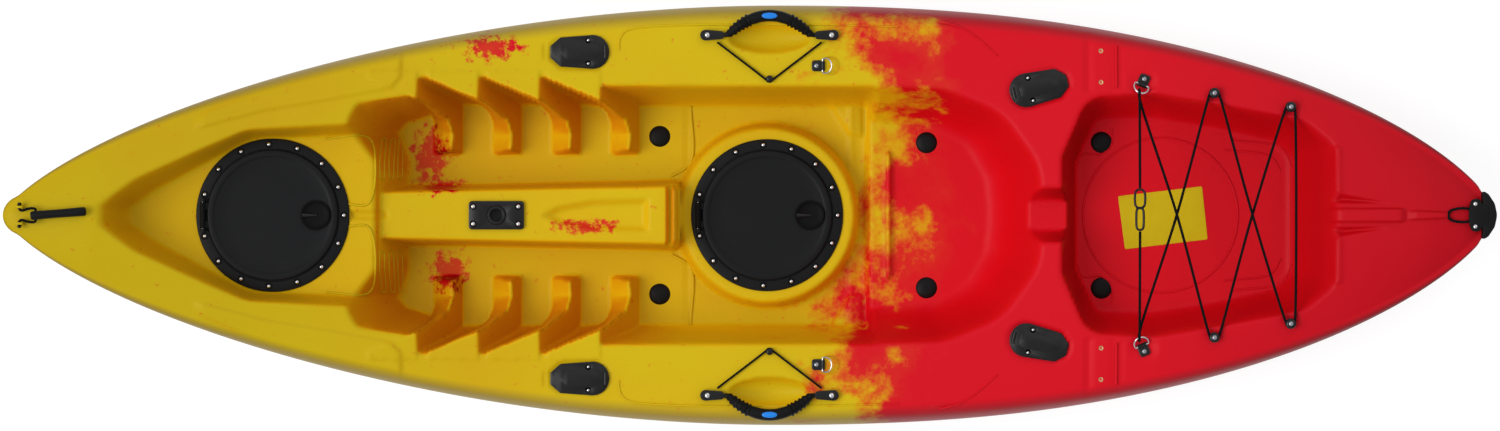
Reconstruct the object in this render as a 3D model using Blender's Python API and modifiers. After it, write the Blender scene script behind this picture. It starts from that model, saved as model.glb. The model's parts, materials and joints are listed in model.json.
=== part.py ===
"""Sit-on-top fishing kayak: a rotomoulded hull with its hatches, holders, handles and cords.

Metres, +Z up. X runs along the hull from the bow (-X) to the stern (+X), Y across it, and the
keel rests on Z = 0. Every size that can be set by itself is named once, below.
"""

import math

import bmesh
import bpy
from mathutils import Matrix, Vector

GAP = 0.0003  # clearance between a piece and what it rests on
RUNNING_GAP = 0.0003  # radial clearance of a pin in its hole

# Hull form
LENGTH = 2.700
STRETCH = LENGTH / 2.700  # every place along the hull keeps its share of the length
HALF_BEAM = 0.386
WIDEST_X = 0.044 * STRETCH
STERN_TIP_X = LENGTH / 2 - 0.013
STERN_CURVE_X = LENGTH / 2 + 0.002  # where the side's curve would end behind the blunt stern
STEM_HALF = 0.011  # half the blunt width of the bow and stern
BOW_FORM = (1.90, 0.72)  # power and fullness of the waterline's curve
STERN_FORM = (2.35, 0.695)
GUNWALE_HEIGHT = 0.270
BOW_RISE = 0.078
STERN_RISE = 0.048
LEVEL_HALF = 0.10 * STRETCH  # the gunwale is level this far from the middle
CROWN = 0.026  # how far the foredeck's middle stands above its edges
FLAT_KEEL = 0.80  # the keel touches the ground this far from the middle
BOW_ROCKER = 0.215
STERN_ROCKER = 0.165
WALL = 0.004
STATIONS = 22
# Half sections from the keel outwards and up: share of the half breadth, share of the height
MIDDLE_SECTION = (
    (0.13, 0), (0.34, 0.12), (0.52, 0), (0.70, 0), (0.90, 0.22), (1, 0.56), (0.985, 0.80), (0.955, 0.96),
)
END_SECTION = (
    (0.10, 0.02), (0.30, 0.22), (0.47, 0.37), (0.62, 0.5), (0.80, 0.68), (0.96, 0.86), (1, 0.94),
    (0.97, 0.98),
)
DECK_EDGE = 0.925
DECK_SHARES = (0.62, 0.31)

# Wells and forms moulded into the deck
COCKPIT_FLOOR = 0.095
COCKPIT_HALF = 0.2317
COCKPIT_BOW_X = -0.684 * STRETCH
COCKPIT_STERN_X = 0.222 * STRETCH
FOOTWELL_DRAFT = 0.050
SIDE_DRAFT = 0.020
SLOT_HALF = 0.246
SEAT_FLOOR = 0.118
SEAT_BACK_X = 0.530 * STRETCH
SEAT_PAN_X = 0.462 * STRETCH
RECESS_FLOOR = 0.240
RECESS_APEX_X = -1.172 * STRETCH
TANK_FLOOR = 0.165
TANK_BOW_X = 0.570 * STRETCH
TANK_STERN_X = 1.060 * STRETCH
TANK_LEDGE = 0.062
NOTCH_HALF = 0.050
NOTCH_FLOOR = 0.232
PLATFORM_RADIUS = 0.161
PLATFORM_TOP = 0.150
CONSOLE_X = (-0.672 * STRETCH, -0.150 * STRETCH)
CONSOLE_HALF = (0.043, 0.054)
CONSOLE_TOP = 0.218
CONSOLE_DRAFT = 0.010
TRAY_X = (-0.380 * STRETCH, -0.183 * STRETCH)
TRAY_HALF = 0.033
TRAY_DEPTH = 0.014
FIN_COUNT = 4
FIN_PITCH = 0.109 * STRETCH
FIN_FIRST_X = -0.602 * STRETCH
FIN_BASE_DRAFT = 0.014
SCOOP_X = 0.035 * STRETCH
SCOOP_Y = 0.322
SCOOP_SIZE = (0.074, 0.027, 0.030)
SEAT_CUT = 0.002  # depth of the flat that each fitting is let into

# Scuppers
SCUPPER_HOLE = 0.016
SCUPPER_HEAD = 0.020
SCUPPER_HEAD_HEIGHT = 0.006
SCUPPER_REBATE = 0.0015  # how deep each plug's head is let into the floor
SCUPPER_STEM = 0.022
SCUPPERS = {
    "cockpit": (-0.168 * STRETCH, 0.146, COCKPIT_FLOOR),
    "seat": (0.325 * STRETCH, 0.134, SEAT_FLOOR),
    "tank": (0.645 * STRETCH, 0.134, TANK_FLOOR),
}

# Hatches
HATCHES = {"front": (-0.8714 * STRETCH, RECESS_FLOOR), "centre": (0.0305 * STRETCH, PLATFORM_TOP)}
FLANGE_RADIUS = 0.140
FLANGE_HEIGHT = 0.0045
THROAT_RADIUS = 0.104
SKIRT_RADIUS = 0.1105
SKIRT_DEPTH = 0.010
HATCH_HOLE = 0.112
LID_RADIUS = 0.1185
LID_THICKNESS = 0.003
SEAL_RADII = (0.1085, 0.1135)
SEAL_HEIGHT = 0.003
HINGE_OFFSET = 0.127
HINGE_HALF = 0.024
KNUCKLE_RADIUS = 0.0053
PIN_RADIUS = 0.002
EAR_WIDTH = 0.006
KNOB_OFFSET = 0.0785
KNOB_RADIUS = 0.027
KNOB_HEIGHT = 0.005
KNOB_SHAFT = 0.006
TONGUE_LENGTH = 0.030

# Rod holders: place of the mouth, and the side that the round end points to
HOLDERS = {"front": (-0.320 * STRETCH, 0.297, 0.0, 1), "rear": (0.533 * STRETCH, 0.2345, 13.0, -1)}
HOLDER_ROUND = 0.033
HOLDER_TAB = 0.014
HOLDER_SPREAD = 0.060
HOLDER_FLANGE = 0.004
HOLDER_BORE = 0.0205
HOLDER_TUBE = 0.0230
HOLDER_DEPTH = 0.165
HOLDER_TILT = 14.0
CAP_THICKNESS = 0.004
CAP_MARGIN = 0.003
CAP_KNUCKLE = 0.0035
CAP_KNUCKLE_HALF = 0.011
STUB_RADIUS = 0.0014
STUB_GAP = 0.0006

# Accessory mount
MOUNT_X = -0.4645 * STRETCH
MOUNT_SIZE = (0.101, 0.052, 0.006)
MOUNT_COLLAR = (0.0175, 0.004)
SOCKET_RADIUS = 0.012
SOCKET_DEPTH = 0.028
SOCKET_CUP = 0.0155

# Carry handles
HANDLE_X = 0.0345 * STRETCH
HANDLE_Y = 0.3275
HANDLE_PAD_SPREAD = 0.1045
HANDLE_PAD = (0.043, 0.021, 0.010)
HANDLE_AXIS_HEIGHT = 0.006
HANDLE_NECK = 0.0033
HANDLE_GRIP = 0.0085
HANDLE_REACH = 0.0345
HOOK_Y = 0.2480
HOOK_HEIGHT = 0.011
KEEPER_RADIUS = 0.002

# D-rings: screw side, and the turn of the pad about Z for the +Y side
D_RINGS = {"front": (0.1235 * STRETCH, 0.2718, 90.0), "rear": (0.7140 * STRETCH, 0.2440, -22.0)}
RING_PAD = (0.024, 0.020, 0.003)
RING_WIRE = 0.0015
RING_BAR = 0.0125
RING_BARREL = 0.0040
RING_ARCH = 0.0135  # radius of the ring's round side
RING_DROP = 0.006  # from the bar to the middle of that arc
RING_FLAT = 0.0215
RING_LIFT = {"front": 35.0, "rear": 38.0}  # how far each ring stands up from its pad at rest

# Tank bungee
CORD_RADIUS = 0.0025
BUTTONS = {"middle": (0.8413 * STRETCH, 0.2216), "aft": (0.9794 * STRETCH, 0.1965)}
BUTTON_RADIUS = 0.0095
BUTTON_NECK = 0.0045
BUTTON_HEIGHT = 0.0165
BUTTON_CORD_HEIGHT = 0.0095
CLIP_WIRE = 0.0022
CLIP_HALF_WIDTH = 0.009
CLIP_LENGTH = 0.074
CLIP_X = 0.7065 * STRETCH
CLIP_Y = 0.010

# Bow toggle and stern handle
TOGGLE_X = 0.032 - LENGTH / 2
TOGGLE_LENGTH = 0.100
TOGGLE_RADIUS = 0.008
TOGGLE_CORD = 0.0025
TOGGLE_EYE_HALF = 0.015
TOGGLE_AXIS_HEIGHT = 0.008
STERN_PAD_X = LENGTH / 2 - 0.0515
STERN_PAD_HALF = 0.0295
STERN_PAD_HEIGHT = 0.006
BUMPER_HALF = 0.046
BUMPER_DEPTH = 0.034
STERN_CORD_X = LENGTH / 2 - 0.088
STERN_CORD_HALF = 0.0115

# Brass inserts in the side decks
INSERTS = {"inner": (0.637 * STRETCH, 0.2414), "outer": (0.637 * STRETCH, 0.2985)}
INSERT_HEAD = 0.0045
INSERT_BARREL = 0.0030
INSERT_HOLE = 0.0018
INSERT_DEPTH = 0.012

ROUND = 28  # sides of a hatch
SMALL_ROUND = 12
TINY_ROUND = 8
STRAIGHT = 0.001  # a corner whose arc is shorter than this counts as straight


# Scene helpers


def clear_scene():
    """Remove every object, mesh and collection of the file."""
    for item in list(bpy.data.objects):
        bpy.data.objects.remove(item, do_unlink=True)
    for group in list(bpy.data.collections):
        bpy.data.collections.remove(group)


def collection(name):
    """Make a collection under the scene's own."""
    group = bpy.data.collections.new(name)
    bpy.context.scene.collection.children.link(group)
    return group


def material(name, color, roughness, metallic=0.0):
    """Make a plain Principled material."""
    made = bpy.data.materials.new(name)
    made.use_nodes = True
    shader = made.node_tree.nodes["Principled BSDF"]
    shader.inputs["Base Color"].default_value = (*color, 1)
    shader.inputs["Roughness"].default_value = roughness
    shader.inputs["Metallic"].default_value = metallic
    made.diffuse_color = (*color, 1)
    return made


def closed_mesh(name, shape):
    """Turn a bmesh into a mesh whose faces point outwards."""
    bmesh.ops.remove_doubles(shape, verts=shape.verts, dist=1e-6)
    bmesh.ops.recalc_face_normals(shape, faces=shape.faces)
    mesh = bpy.data.meshes.new(name)
    shape.to_mesh(mesh)
    shape.free()
    return mesh


def add(name, shape, finish=None, group=None):
    """Add a bmesh as an object: a part with a finish, or else a cutter."""
    item = bpy.data.objects.new(name, closed_mesh(name, shape))
    if finish is None:
        CUTTERS.objects.link(item)
        item.hide_render = True
        item.display_type = "WIRE"
    else:
        (group or PARTS).objects.link(item)
        item.data.materials.append(finish)
        item.data.shade_smooth()
        item.data.set_sharp_from_angle(angle=math.radians(35))
    return item


def combine(target, other, operation):
    """Join or cut a mesh with another one, at once."""
    step = target.modifiers.new(operation.lower(), "BOOLEAN")
    step.operation = operation
    step.solver = "EXACT"
    step.object = other
    graph = bpy.context.evaluated_depsgraph_get()
    result = bpy.data.meshes.new_from_object(target.evaluated_get(graph))
    target.modifiers.clear()
    old = target.data
    target.data = result
    bpy.data.meshes.remove(old)
    result.shade_smooth()
    result.set_sharp_from_angle(angle=math.radians(35))


def cut(target, *others):
    """Take the cutters out of a piece."""
    for other in others:
        combine(target, other, "DIFFERENCE")


def fuse(target, *others):
    """Join helper solids to a piece."""
    for other in others:
        combine(target, other, "UNION")


def pivot_at(item, point):
    """Put a moving piece's origin on its joint's axis."""
    item.data.transform(Matrix.Translation(-Vector(point)))
    item.location = point


# Shapes


def rings_shape(rings):
    """Loft closed rings of equal counts, and cap both ends. Its sides are flat triangles."""
    shape = bmesh.new()
    rows = [[shape.verts.new(point) for point in ring] for ring in rings]
    count = len(rows[0])
    sides = []
    for low, high in zip(rows, rows[1:]):
        for i in range(count):
            j = (i + 1) % count
            sides.append(shape.faces.new((low[i], low[j], high[j], high[i])))
    shape.faces.new(rows[0][::-1])
    shape.faces.new(rows[-1])
    bmesh.ops.triangulate(shape, faces=sides)
    return shape


def at_height(outline, height):
    """Lift a flat outline to a height, which may be a function of x and y."""
    if callable(height):
        return [(x, y, height(x, y)) for x, y in outline]
    return [(x, y, height) for x, y in outline]


def moved_outward(outline, distance):
    """Offset a closed outline, square to its sides."""
    count = len(outline)
    area = sum(outline[i - 1][0] * outline[i][1] - outline[i][0] * outline[i - 1][1] for i in range(count))
    side = 1 if area > 0 else -1
    moved = []
    for i in range(count):
        before, here, after = (Vector(outline[(i + k) % count]) for k in (-1, 0, 1))
        first = (here - before).normalized()
        second = (after - here).normalized()
        normal = Vector((first.y + second.y, -first.x - second.x)).normalized() * side
        lean = max(0.6, normal.dot(Vector((first.y, -first.x)) * side))
        moved.append(tuple(here + normal * distance / lean))
    return moved


def rounded(corners, steps=4):
    """A closed outline from corners (x, y, radius), each an arc of the same number of steps."""
    outline = []
    count = len(corners)
    for i in range(count):
        before, here, after = (Vector(corners[(i + k) % count][:2]) for k in (-1, 0, 1))
        back = (before - here).normalized()
        ahead = (after - here).normalized()
        if not corners[i][2]:
            outline.append(tuple(here))
            continue
        half = math.acos(max(-1, min(1, back.dot(ahead)))) / 2
        reach = corners[i][2] / max(math.tan(half), 1e-6)
        if reach < STRAIGHT:
            outline += [tuple(here + ahead * STRAIGHT * (2 * k / steps - 1)) for k in range(steps + 1)]
            continue
        reach = min(reach, 0.49 * (before - here).length, 0.49 * (after - here).length)
        radius = reach * math.tan(half)
        centre = here + (back + ahead).normalized() * math.hypot(reach, radius)
        start = here + back * reach - centre
        last = here + ahead * reach - centre
        sweep = math.atan2(start.x * last.y - start.y * last.x, start.dot(last))
        for k in range(steps + 1):
            turn = sweep * k / steps
            c, s = math.cos(turn), math.sin(turn)
            outline.append((centre.x + start.x * c - start.y * s, centre.y + start.x * s + start.y * c))
    return outline


def mirrored(half):
    """Close a half outline given on the +Y side, from bow to stern."""
    return list(half) + [(x, -y, r) for x, y, r in reversed(half)]


def circle(centre_x, centre_y, radius, sides, first=0.0):
    """A round outline."""
    turns = [first + 2 * math.pi * i / sides for i in range(sides)]
    return [(centre_x + radius * math.cos(a), centre_y + radius * math.sin(a)) for a in turns]


def egg(round_end, tab_end, spread, steps=6):
    """An outline of two arcs and their tangents, the round end towards -X."""
    lean = math.pi - math.acos((round_end - tab_end) / spread)
    points = []
    for centre, radius, first, last in (
        (spread / 2, tab_end, -lean, lean), (-spread / 2, round_end, lean, 2 * math.pi - lean)
    ):
        for k in range(steps + 1):
            turn = first + (last - first) * k / steps
            points.append((centre + radius * math.cos(turn), radius * math.sin(turn)))
    return points


def slab(name, outline, low, high, finish=None, chamfer=0.0):
    """A flat plate between two heights, with a chamfered top edge."""
    rings = [at_height(outline, low)]
    if chamfer:
        rings.append(at_height(outline, high - chamfer))
        rings.append(at_height(moved_outward(outline, -chamfer), high))
    else:
        rings.append(at_height(outline, high))
    return add(name, rings_shape(rings), finish)


def block(name, size, centre, finish=None, bevel=0.0):
    """A box with rounded edges."""
    shape = bmesh.new()
    bmesh.ops.create_cube(shape, size=1)
    bmesh.ops.scale(shape, vec=size, verts=shape.verts)
    if bevel:
        bmesh.ops.bevel(shape, geom=shape.edges[:], offset=bevel, segments=1, profile=0.5, affect="EDGES")
    bmesh.ops.translate(shape, vec=centre, verts=shape.verts)
    return add(name, shape, finish)


def rod(name, radius, start, end, finish=None, sides=SMALL_ROUND):
    """A round bar from one point to another."""
    start, end = Vector(start), Vector(end)
    shape = bmesh.new()
    bmesh.ops.create_cone(
        shape, cap_ends=True, segments=sides, radius1=radius, radius2=radius, depth=(end - start).length
    )
    turn = Vector((0, 0, 1)).rotation_difference(end - start).to_matrix()
    bmesh.ops.rotate(shape, cent=(0, 0, 0), matrix=turn, verts=shape.verts)
    bmesh.ops.translate(shape, vec=(start + end) / 2, verts=shape.verts)
    return add(name, shape, finish)


def turned(name, profile, centre, finish=None, sides=ROUND, closed=False):
    """A profile of (radius, height) turned about a vertical axis at the centre."""
    shape = bmesh.new()
    points = [shape.verts.new((radius, 0, height)) for radius, height in profile]
    for low, high in zip(points, points[1:]):
        shape.edges.new((low, high))
    if closed:
        shape.edges.new((points[-1], points[0]))
    mesh = bpy.data.meshes.new(name)
    shape.to_mesh(mesh)
    shape.free()
    guide = bpy.data.objects.new(name + "_profile", mesh)
    CUTTERS.objects.link(guide)
    screw = guide.modifiers.new("turn", "SCREW")
    screw.steps = screw.render_steps = sides
    screw.use_merge_vertices = True
    screw.merge_threshold = 0.0001
    graph = bpy.context.evaluated_depsgraph_get()
    solid = bmesh.new()
    solid.from_mesh(guide.evaluated_get(graph).to_mesh())
    bpy.data.objects.remove(guide)
    bmesh.ops.translate(solid, vec=centre, verts=solid.verts)
    return add(name, solid, finish)


def tube(name, points, radius, finish=None, closed=False, resolution=1, radii=None):
    """A round cord or wire along points, as a closed mesh."""
    path = bpy.data.curves.new(name + "_path", "CURVE")
    path.dimensions = "3D"
    path.bevel_depth = radius
    path.bevel_resolution = resolution
    path.use_fill_caps = not closed
    run = path.splines.new("POLY")
    run.points.add(len(points) - 1)
    for i, (place, point) in enumerate(zip(run.points, points)):
        place.co = (*point, 1)
        place.radius = radii[i] if radii else 1.0
    run.use_cyclic_u = closed
    guide = bpy.data.objects.new(name + "_path", path)
    CUTTERS.objects.link(guide)
    graph = bpy.context.evaluated_depsgraph_get()
    mesh = bpy.data.meshes.new_from_object(guide.evaluated_get(graph))
    solid = bmesh.new()
    solid.from_mesh(mesh)
    bpy.data.objects.remove(guide)
    return add(name, solid, finish)


# Hull surfaces


def half_breadth(x):
    """Half the hull's breadth at a station."""
    tip, form = (-LENGTH / 2, BOW_FORM) if x < WIDEST_X else (STERN_CURVE_X, STERN_FORM)
    share = min(abs((x - WIDEST_X) / (tip - WIDEST_X)), 1)
    return max(HALF_BEAM * (1 - share ** form[0]) ** form[1], STEM_HALF)


def end_share(x):
    """How far a station is towards its tip, from 0 at the widest place to 1."""
    tip = -LENGTH / 2 if x < WIDEST_X else STERN_TIP_X
    return min(abs((x - WIDEST_X) / (tip - WIDEST_X)), 1)


def edge_height(x):
    """Height of the deck's edge."""
    away = max(0, abs(x) - LEVEL_HALF) / (LENGTH / 2 - LEVEL_HALF)
    return GUNWALE_HEIGHT + (BOW_RISE if x < 0 else STERN_RISE) * away**2


def keel_height(x):
    """Height of the keel, which turns up at both ends."""
    away = max(0, abs(x) - FLAT_KEEL) / (LENGTH / 2 - FLAT_KEEL)
    return (BOW_ROCKER if x < 0 else STERN_ROCKER) * away**2.4


def deck_height(x, y):
    """Height of the uncut deck."""
    away = min(1, max(0, abs(x) - LEVEL_HALF) / 0.6)
    breadth = half_breadth(x)
    crown = CROWN * away * min(1, breadth / 0.12)
    share = min(1, abs(y) / (DECK_EDGE * breadth))
    return edge_height(x) + crown * (1 - share**2)


def smoothstep(low, high, value):
    """A smooth ramp from 0 to 1."""
    t = min(1, max(0, (value - low) / (high - low)))
    return t * t * (3 - 2 * t)


def hull_section(x, inset):
    """The closed section of the hull at a station, drawn in by an inset."""
    blend = smoothstep(0.45, 1.0, end_share(x))
    keel, edge = keel_height(x), edge_height(x)
    breadth = half_breadth(x)
    inset *= 1 + blend
    wide = max(breadth - inset, STEM_HALF / 2)
    low = keel + inset
    tall = edge - inset - low
    half = [(0, low)]
    for (my, mz), (ey, ez) in zip(MIDDLE_SECTION, END_SECTION):
        half.append((wide * (my + (ey - my) * blend), low + tall * (mz + (ez - mz) * blend)))
    for share in (DECK_EDGE, *DECK_SHARES, 0):
        half.append((wide * share, deck_height(x, wide * share) - inset))
    mirror = [(-y, z) for y, z in half[-2:0:-1]]
    return [(x, y, z) for y, z in half + mirror]


def station(number):
    """Place of a numbered section, closer together towards both ends."""
    along = 0.5 - 0.5 * math.cos(math.pi * number / STATIONS)
    return -LENGTH / 2 + (STERN_TIP_X + LENGTH / 2) * along


def hull_body(name, inset, numbers, finish=None):
    """The hull without its wells, as a loft of the numbered sections."""
    return add(name, rings_shape([hull_section(station(i), inset) for i in numbers]), finish)


def pocket(name, lip, floor, floor_z, grow=0.0, floor_round=0.016, lip_round=0.007):
    """A drafted well from its lip on the deck to its floor, grown outwards by an amount."""
    steps = 2 if grow else 3
    lip, floor = rounded(lip, steps), rounded(floor, steps)
    if grow:
        lip, floor = moved_outward(lip, grow), moved_outward(floor, grow)
        floor_z -= grow
    rings = [at_height(moved_outward(floor, -floor_round), floor_z)]

    def between(share_up):
        """A ring on the wall, at a share of the way up."""
        ring = []
        for (fx, fy), (lx, ly) in zip(floor, lip):
            top = deck_height(lx, ly)
            height = floor_z + (top - floor_z) * share_up
            ring.append((fx + (lx - fx) * share_up, fy + (ly - fy) * share_up, height))
        return ring

    depth = min(deck_height(x, y) for x, y in lip) - floor_z
    rings.append(between(floor_round / depth))
    if grow:
        rings.append(at_height(lip, deck_height))
        rings.append(at_height(lip, 1.5 * GUNWALE_HEIGHT))
        return add(name, rings_shape(rings))
    rings.append(between(1 - lip_round / depth))
    wide = moved_outward(lip, 0.6 * lip_round)
    rings.append([(x, y, deck_height(x, y) + 0.4 * lip_round) for x, y in wide])
    rings.append(at_height(wide, 1.5 * GUNWALE_HEIGHT))
    return add(name, rings_shape(rings))


def cockpit_pocket(name, grow=0.0):
    """The footwells and the floor back to the seat's front."""
    slot_end = FIN_FIRST_X + FIN_COUNT * FIN_PITCH - 0.08
    lip = mirrored([
        (COCKPIT_BOW_X, 0.02, 0), (COCKPIT_BOW_X, 0.10, 0.03), (COCKPIT_BOW_X - 0.052, 0.165, 0.03),
        (COCKPIT_BOW_X - 0.030, 0.204, 0.02), (FIN_FIRST_X - 0.020, 0.214, 0.012),
        (FIN_FIRST_X, SLOT_HALF, 0.012), (slot_end, SLOT_HALF, 0.02), (slot_end + 0.035, COCKPIT_HALF, 0.02),
        (COCKPIT_STERN_X + 0.02, COCKPIT_HALF, 0.02), (COCKPIT_STERN_X + 0.02, 0.10, 0.0),
    ])
    toe = COCKPIT_BOW_X + FOOTWELL_DRAFT
    side = COCKPIT_HALF - SIDE_DRAFT
    floor = mirrored([
        (toe, 0.02, 0), (toe, 0.10, 0.03), (toe - 0.018, 0.155, 0.02), (toe - 0.008, 0.178, 0.02),
        (FIN_FIRST_X + 0.012, side - 0.018, 0.02), (FIN_FIRST_X + 0.032, side, 0.02), (slot_end, side, 0.02),
        (slot_end + 0.035, side, 0.02), (COCKPIT_STERN_X, side, 0.02), (COCKPIT_STERN_X, 0.10, 0.0),
    ])
    return pocket(name, lip, floor, COCKPIT_FLOOR, grow)


def seat_pocket(name, grow=0.0):
    """The seat's pan and its backrest, which curves up to the rear deck."""
    front = COCKPIT_STERN_X - 0.03
    lip = mirrored([
        (front, 0.02, 0), (front, COCKPIT_HALF, 0.004), (0.350 * STRETCH, COCKPIT_HALF - 0.004, 0.10),
        (0.455 * STRETCH, 0.185, 0.12), (SEAT_BACK_X - 0.010, 0.095, 0.10), (SEAT_BACK_X, 0.02, 0.0),
    ])
    floor = mirrored([
        (front, 0.02, 0), (front, 0.190, 0.004), (0.345 * STRETCH, 0.186, 0.09),
        (0.415 * STRETCH, 0.150, 0.08),
        (SEAT_PAN_X - 0.006, 0.075, 0.06), (SEAT_PAN_X, 0.02, 0.0),
    ])
    return pocket(name, lip, floor, SEAT_FLOOR, grow, floor_round=0.030, lip_round=0.010)


def recess_pocket(name, grow=0.0):
    """The shallow recess round the front hatch, from its point at the bow to the footwells."""
    hatch_x = HATCHES["front"][0]
    clear = FLANGE_RADIUS + 0.004
    lip = mirrored([
        (RECESS_APEX_X, 0.018, 0), (RECESS_APEX_X + 0.060, 0.064, 0.05), (-0.985 * STRETCH, 0.122, 0.06),
        (hatch_x - 0.040, 0.152, 0.06), (hatch_x + 0.040, 0.158, 0.05), (-0.690 * STRETCH, 0.166, 0.01),
        (COCKPIT_BOW_X + 0.010, 0.10, 0.01), (COCKPIT_BOW_X + 0.010, 0.02, 0.0),
    ])
    floor = mirrored([
        (RECESS_APEX_X + 0.040, 0.016, 0), (RECESS_APEX_X + 0.085, 0.048, 0.04),
        (-0.975 * STRETCH, 0.108, 0.06),
        (hatch_x - 0.040, clear, 0.06), (hatch_x + 0.040, clear, 0.05), (-0.700 * STRETCH, 0.150, 0.01),
        (COCKPIT_BOW_X + 0.010, 0.10, 0.01), (COCKPIT_BOW_X + 0.010, 0.02, 0.0),
    ])
    return pocket(name, lip, floor, RECESS_FLOOR, grow, floor_round=0.004, lip_round=0.008)


def tank_pocket(name, grow=0.0):
    """The tank well behind the seat."""
    lip = mirrored([
        (TANK_BOW_X, 0.04, 0), (TANK_BOW_X, 0.105, 0.04), (TANK_BOW_X + 0.045, 0.2125, 0.045),
        (0.735 * STRETCH, 0.218, 0.05), (0.860 * STRETCH, 0.196, 0.05), (1.005 * STRETCH, 0.170, 0.05),
        (TANK_STERN_X, 0.125, 0.04),
        (TANK_STERN_X, 0.04, 0.0),
    ])
    floor = mirrored([
        (TANK_BOW_X + 0.018, 0.04, 0), (TANK_BOW_X + 0.018, 0.100, 0.03), (TANK_BOW_X + 0.060, 0.187, 0.035),
        (0.735 * STRETCH, 0.190, 0.05), (0.855 * STRETCH, 0.172, 0.05), (0.960 * STRETCH, 0.148, 0.04),
        (TANK_STERN_X - TANK_LEDGE, 0.110, 0.03),
        (TANK_STERN_X - TANK_LEDGE, 0.04, 0.0),
    ])
    return pocket(name, lip, floor, TANK_FLOOR, grow)


def notch_pocket(name, grow=0.0):
    """The notch that joins the backrest to the tank well."""
    ends = (SEAT_BACK_X - 0.030, TANK_BOW_X + 0.012)
    lip = [
        (ends[0], -NOTCH_HALF, 0), (ends[1], -NOTCH_HALF, 0), (ends[1], NOTCH_HALF, 0),
        (ends[0], NOTCH_HALF, 0),
    ]
    floor = [(x, y * 0.6, r) for x, y, r in lip]
    return pocket(name, lip, floor, NOTCH_FLOOR, grow, floor_round=0.004, lip_round=0.006)


def platform_form(name, grow=0.0):
    """The round platform under the centre hatch."""
    centre = HATCHES["centre"][0]
    rings = []
    for spread, height in (
        (0.010, COCKPIT_FLOOR - 0.004 + 6 * grow), (0.0, PLATFORM_TOP - 0.006), (-0.006, PLATFORM_TOP),
    ):
        rings.append(at_height(circle(centre, 0, PLATFORM_RADIUS + spread + grow, ROUND), height + grow))
    return add(name, rings_shape(rings))


def console_form(name, grow=0.0):
    """The console between the footwells, which widens towards the hatch."""
    bow, stern = CONSOLE_X
    narrow, wide = CONSOLE_HALF
    outline = rounded([
        (bow, -narrow, 0.012), (stern, -wide, 0.012), (stern, wide, 0.012), (bow, narrow, 0.012)
    ], 2)
    bottom = COCKPIT_FLOOR - 0.004 + 6 * grow
    rings = [
        at_height(moved_outward(outline, CONSOLE_DRAFT + grow), bottom),
        at_height(moved_outward(outline, grow), CONSOLE_TOP - 0.008 + grow),
        at_height(moved_outward(outline, grow - 0.006), CONSOLE_TOP + grow),
    ]
    return add(name, rings_shape(rings))


def fin_outlines(index, side):
    """The top and foot outlines of one foot brace, and the height of its top along it."""
    x = FIN_FIRST_X + index * FIN_PITCH
    crest = [
        (x - 0.026, SLOT_HALF + 0.010), (x - 0.018, 0.213), (x + 0.022, 0.184), (x + 0.034, 0.150),
        (x + 0.034, 0.121), (x + 0.050, 0.119), (x + 0.057, 0.136), (x + 0.058, 0.158),
        (x + 0.050, 0.176), (x + 0.036, 0.193), (x + 0.006, 0.217), (x + 0.000, SLOT_HALF + 0.010),
    ]
    return [(px, side * py) for px, py in crest]


def fin_form(name, index, side, grow=0.0):
    """One foot brace: a curved ridge that runs down from the side deck to the floor."""

    def top(x, y):
        """Height of the brace's crest, which falls towards the middle."""
        fall = smoothstep(SLOT_HALF, 0.105, abs(y))
        return deck_height(x, SLOT_HALF) - 0.004 - (GUNWALE_HEIGHT - COCKPIT_FLOOR - 0.030) * fall**1.4 + grow

    outline = fin_outlines(index, side)
    rings = [
        at_height(moved_outward(outline, FIN_BASE_DRAFT + grow), COCKPIT_FLOOR - 0.004 + 6 * grow),
        at_height(moved_outward(outline, 0.003 + grow), lambda x, y: top(x, y) - 0.005),
        at_height(moved_outward(outline, grow - 0.002), top),
    ]
    return add(name, rings_shape(rings))


def flat_height(x, y, half_x, half_y):
    """Height of a flat cut that takes in every corner of a fitting's foot."""
    corners = [(x + i * half_x, abs(y) + j * half_y) for i in (-1, 1) for j in (-1, 1)]
    return min(deck_height(*corner) for corner in corners) - SEAT_CUT


def make_hull(finish):
    """The hull: an outer body and the same forms one wall further in, cut from each other."""
    body = hull_body("hull", 0.0, range(STATIONS + 1), finish)
    cavity = hull_body("cavity", WALL, range(1, STATIONS, 2))
    wells = (cockpit_pocket, seat_pocket, recess_pocket, tank_pocket, notch_pocket)
    for well in wells:
        label = well.__name__
        cut(body, well(label))
        cut(cavity, well(label + "_wall", WALL))
    for form in (platform_form, console_form):
        label = form.__name__
        fuse(body, form(label))
        fuse(cavity, form(label + "_hollow", -WALL))
    for index in range(FIN_COUNT):
        for side in (1, -1):
            fuse(body, fin_form(f"fin_{index}_{side}", index, side))
    tray = rounded([
        (TRAY_X[0], -TRAY_HALF, 0.03), (TRAY_X[1], -TRAY_HALF, 0.004),
        (TRAY_X[1], TRAY_HALF, 0.004), (TRAY_X[0], TRAY_HALF, 0.03),
    ], 3)
    cut(body, slab("tray", tray, CONSOLE_TOP - TRAY_DEPTH, GUNWALE_HEIGHT))
    cut(cavity, slab("tray_wall", moved_outward(tray, WALL), CONSOLE_TOP - TRAY_DEPTH - WALL, GUNWALE_HEIGHT))
    for x, y, floor in SCUPPERS.values():
        for side in (1, -1):
            cut(cavity, rod("scupper_wall", SCUPPER_HOLE + WALL, (x, side * y, -0.05), (x, side * y, floor)))
    cut(body, cavity)
    return body


def hatch_holes(body):
    """Cut the two hatch openings."""
    for x, floor in HATCHES.values():
        cut(body, rod("hatch_hole", HATCH_HOLE, (x, 0, floor - 0.02), (x, 0, floor + 0.02), sides=ROUND))


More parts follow.
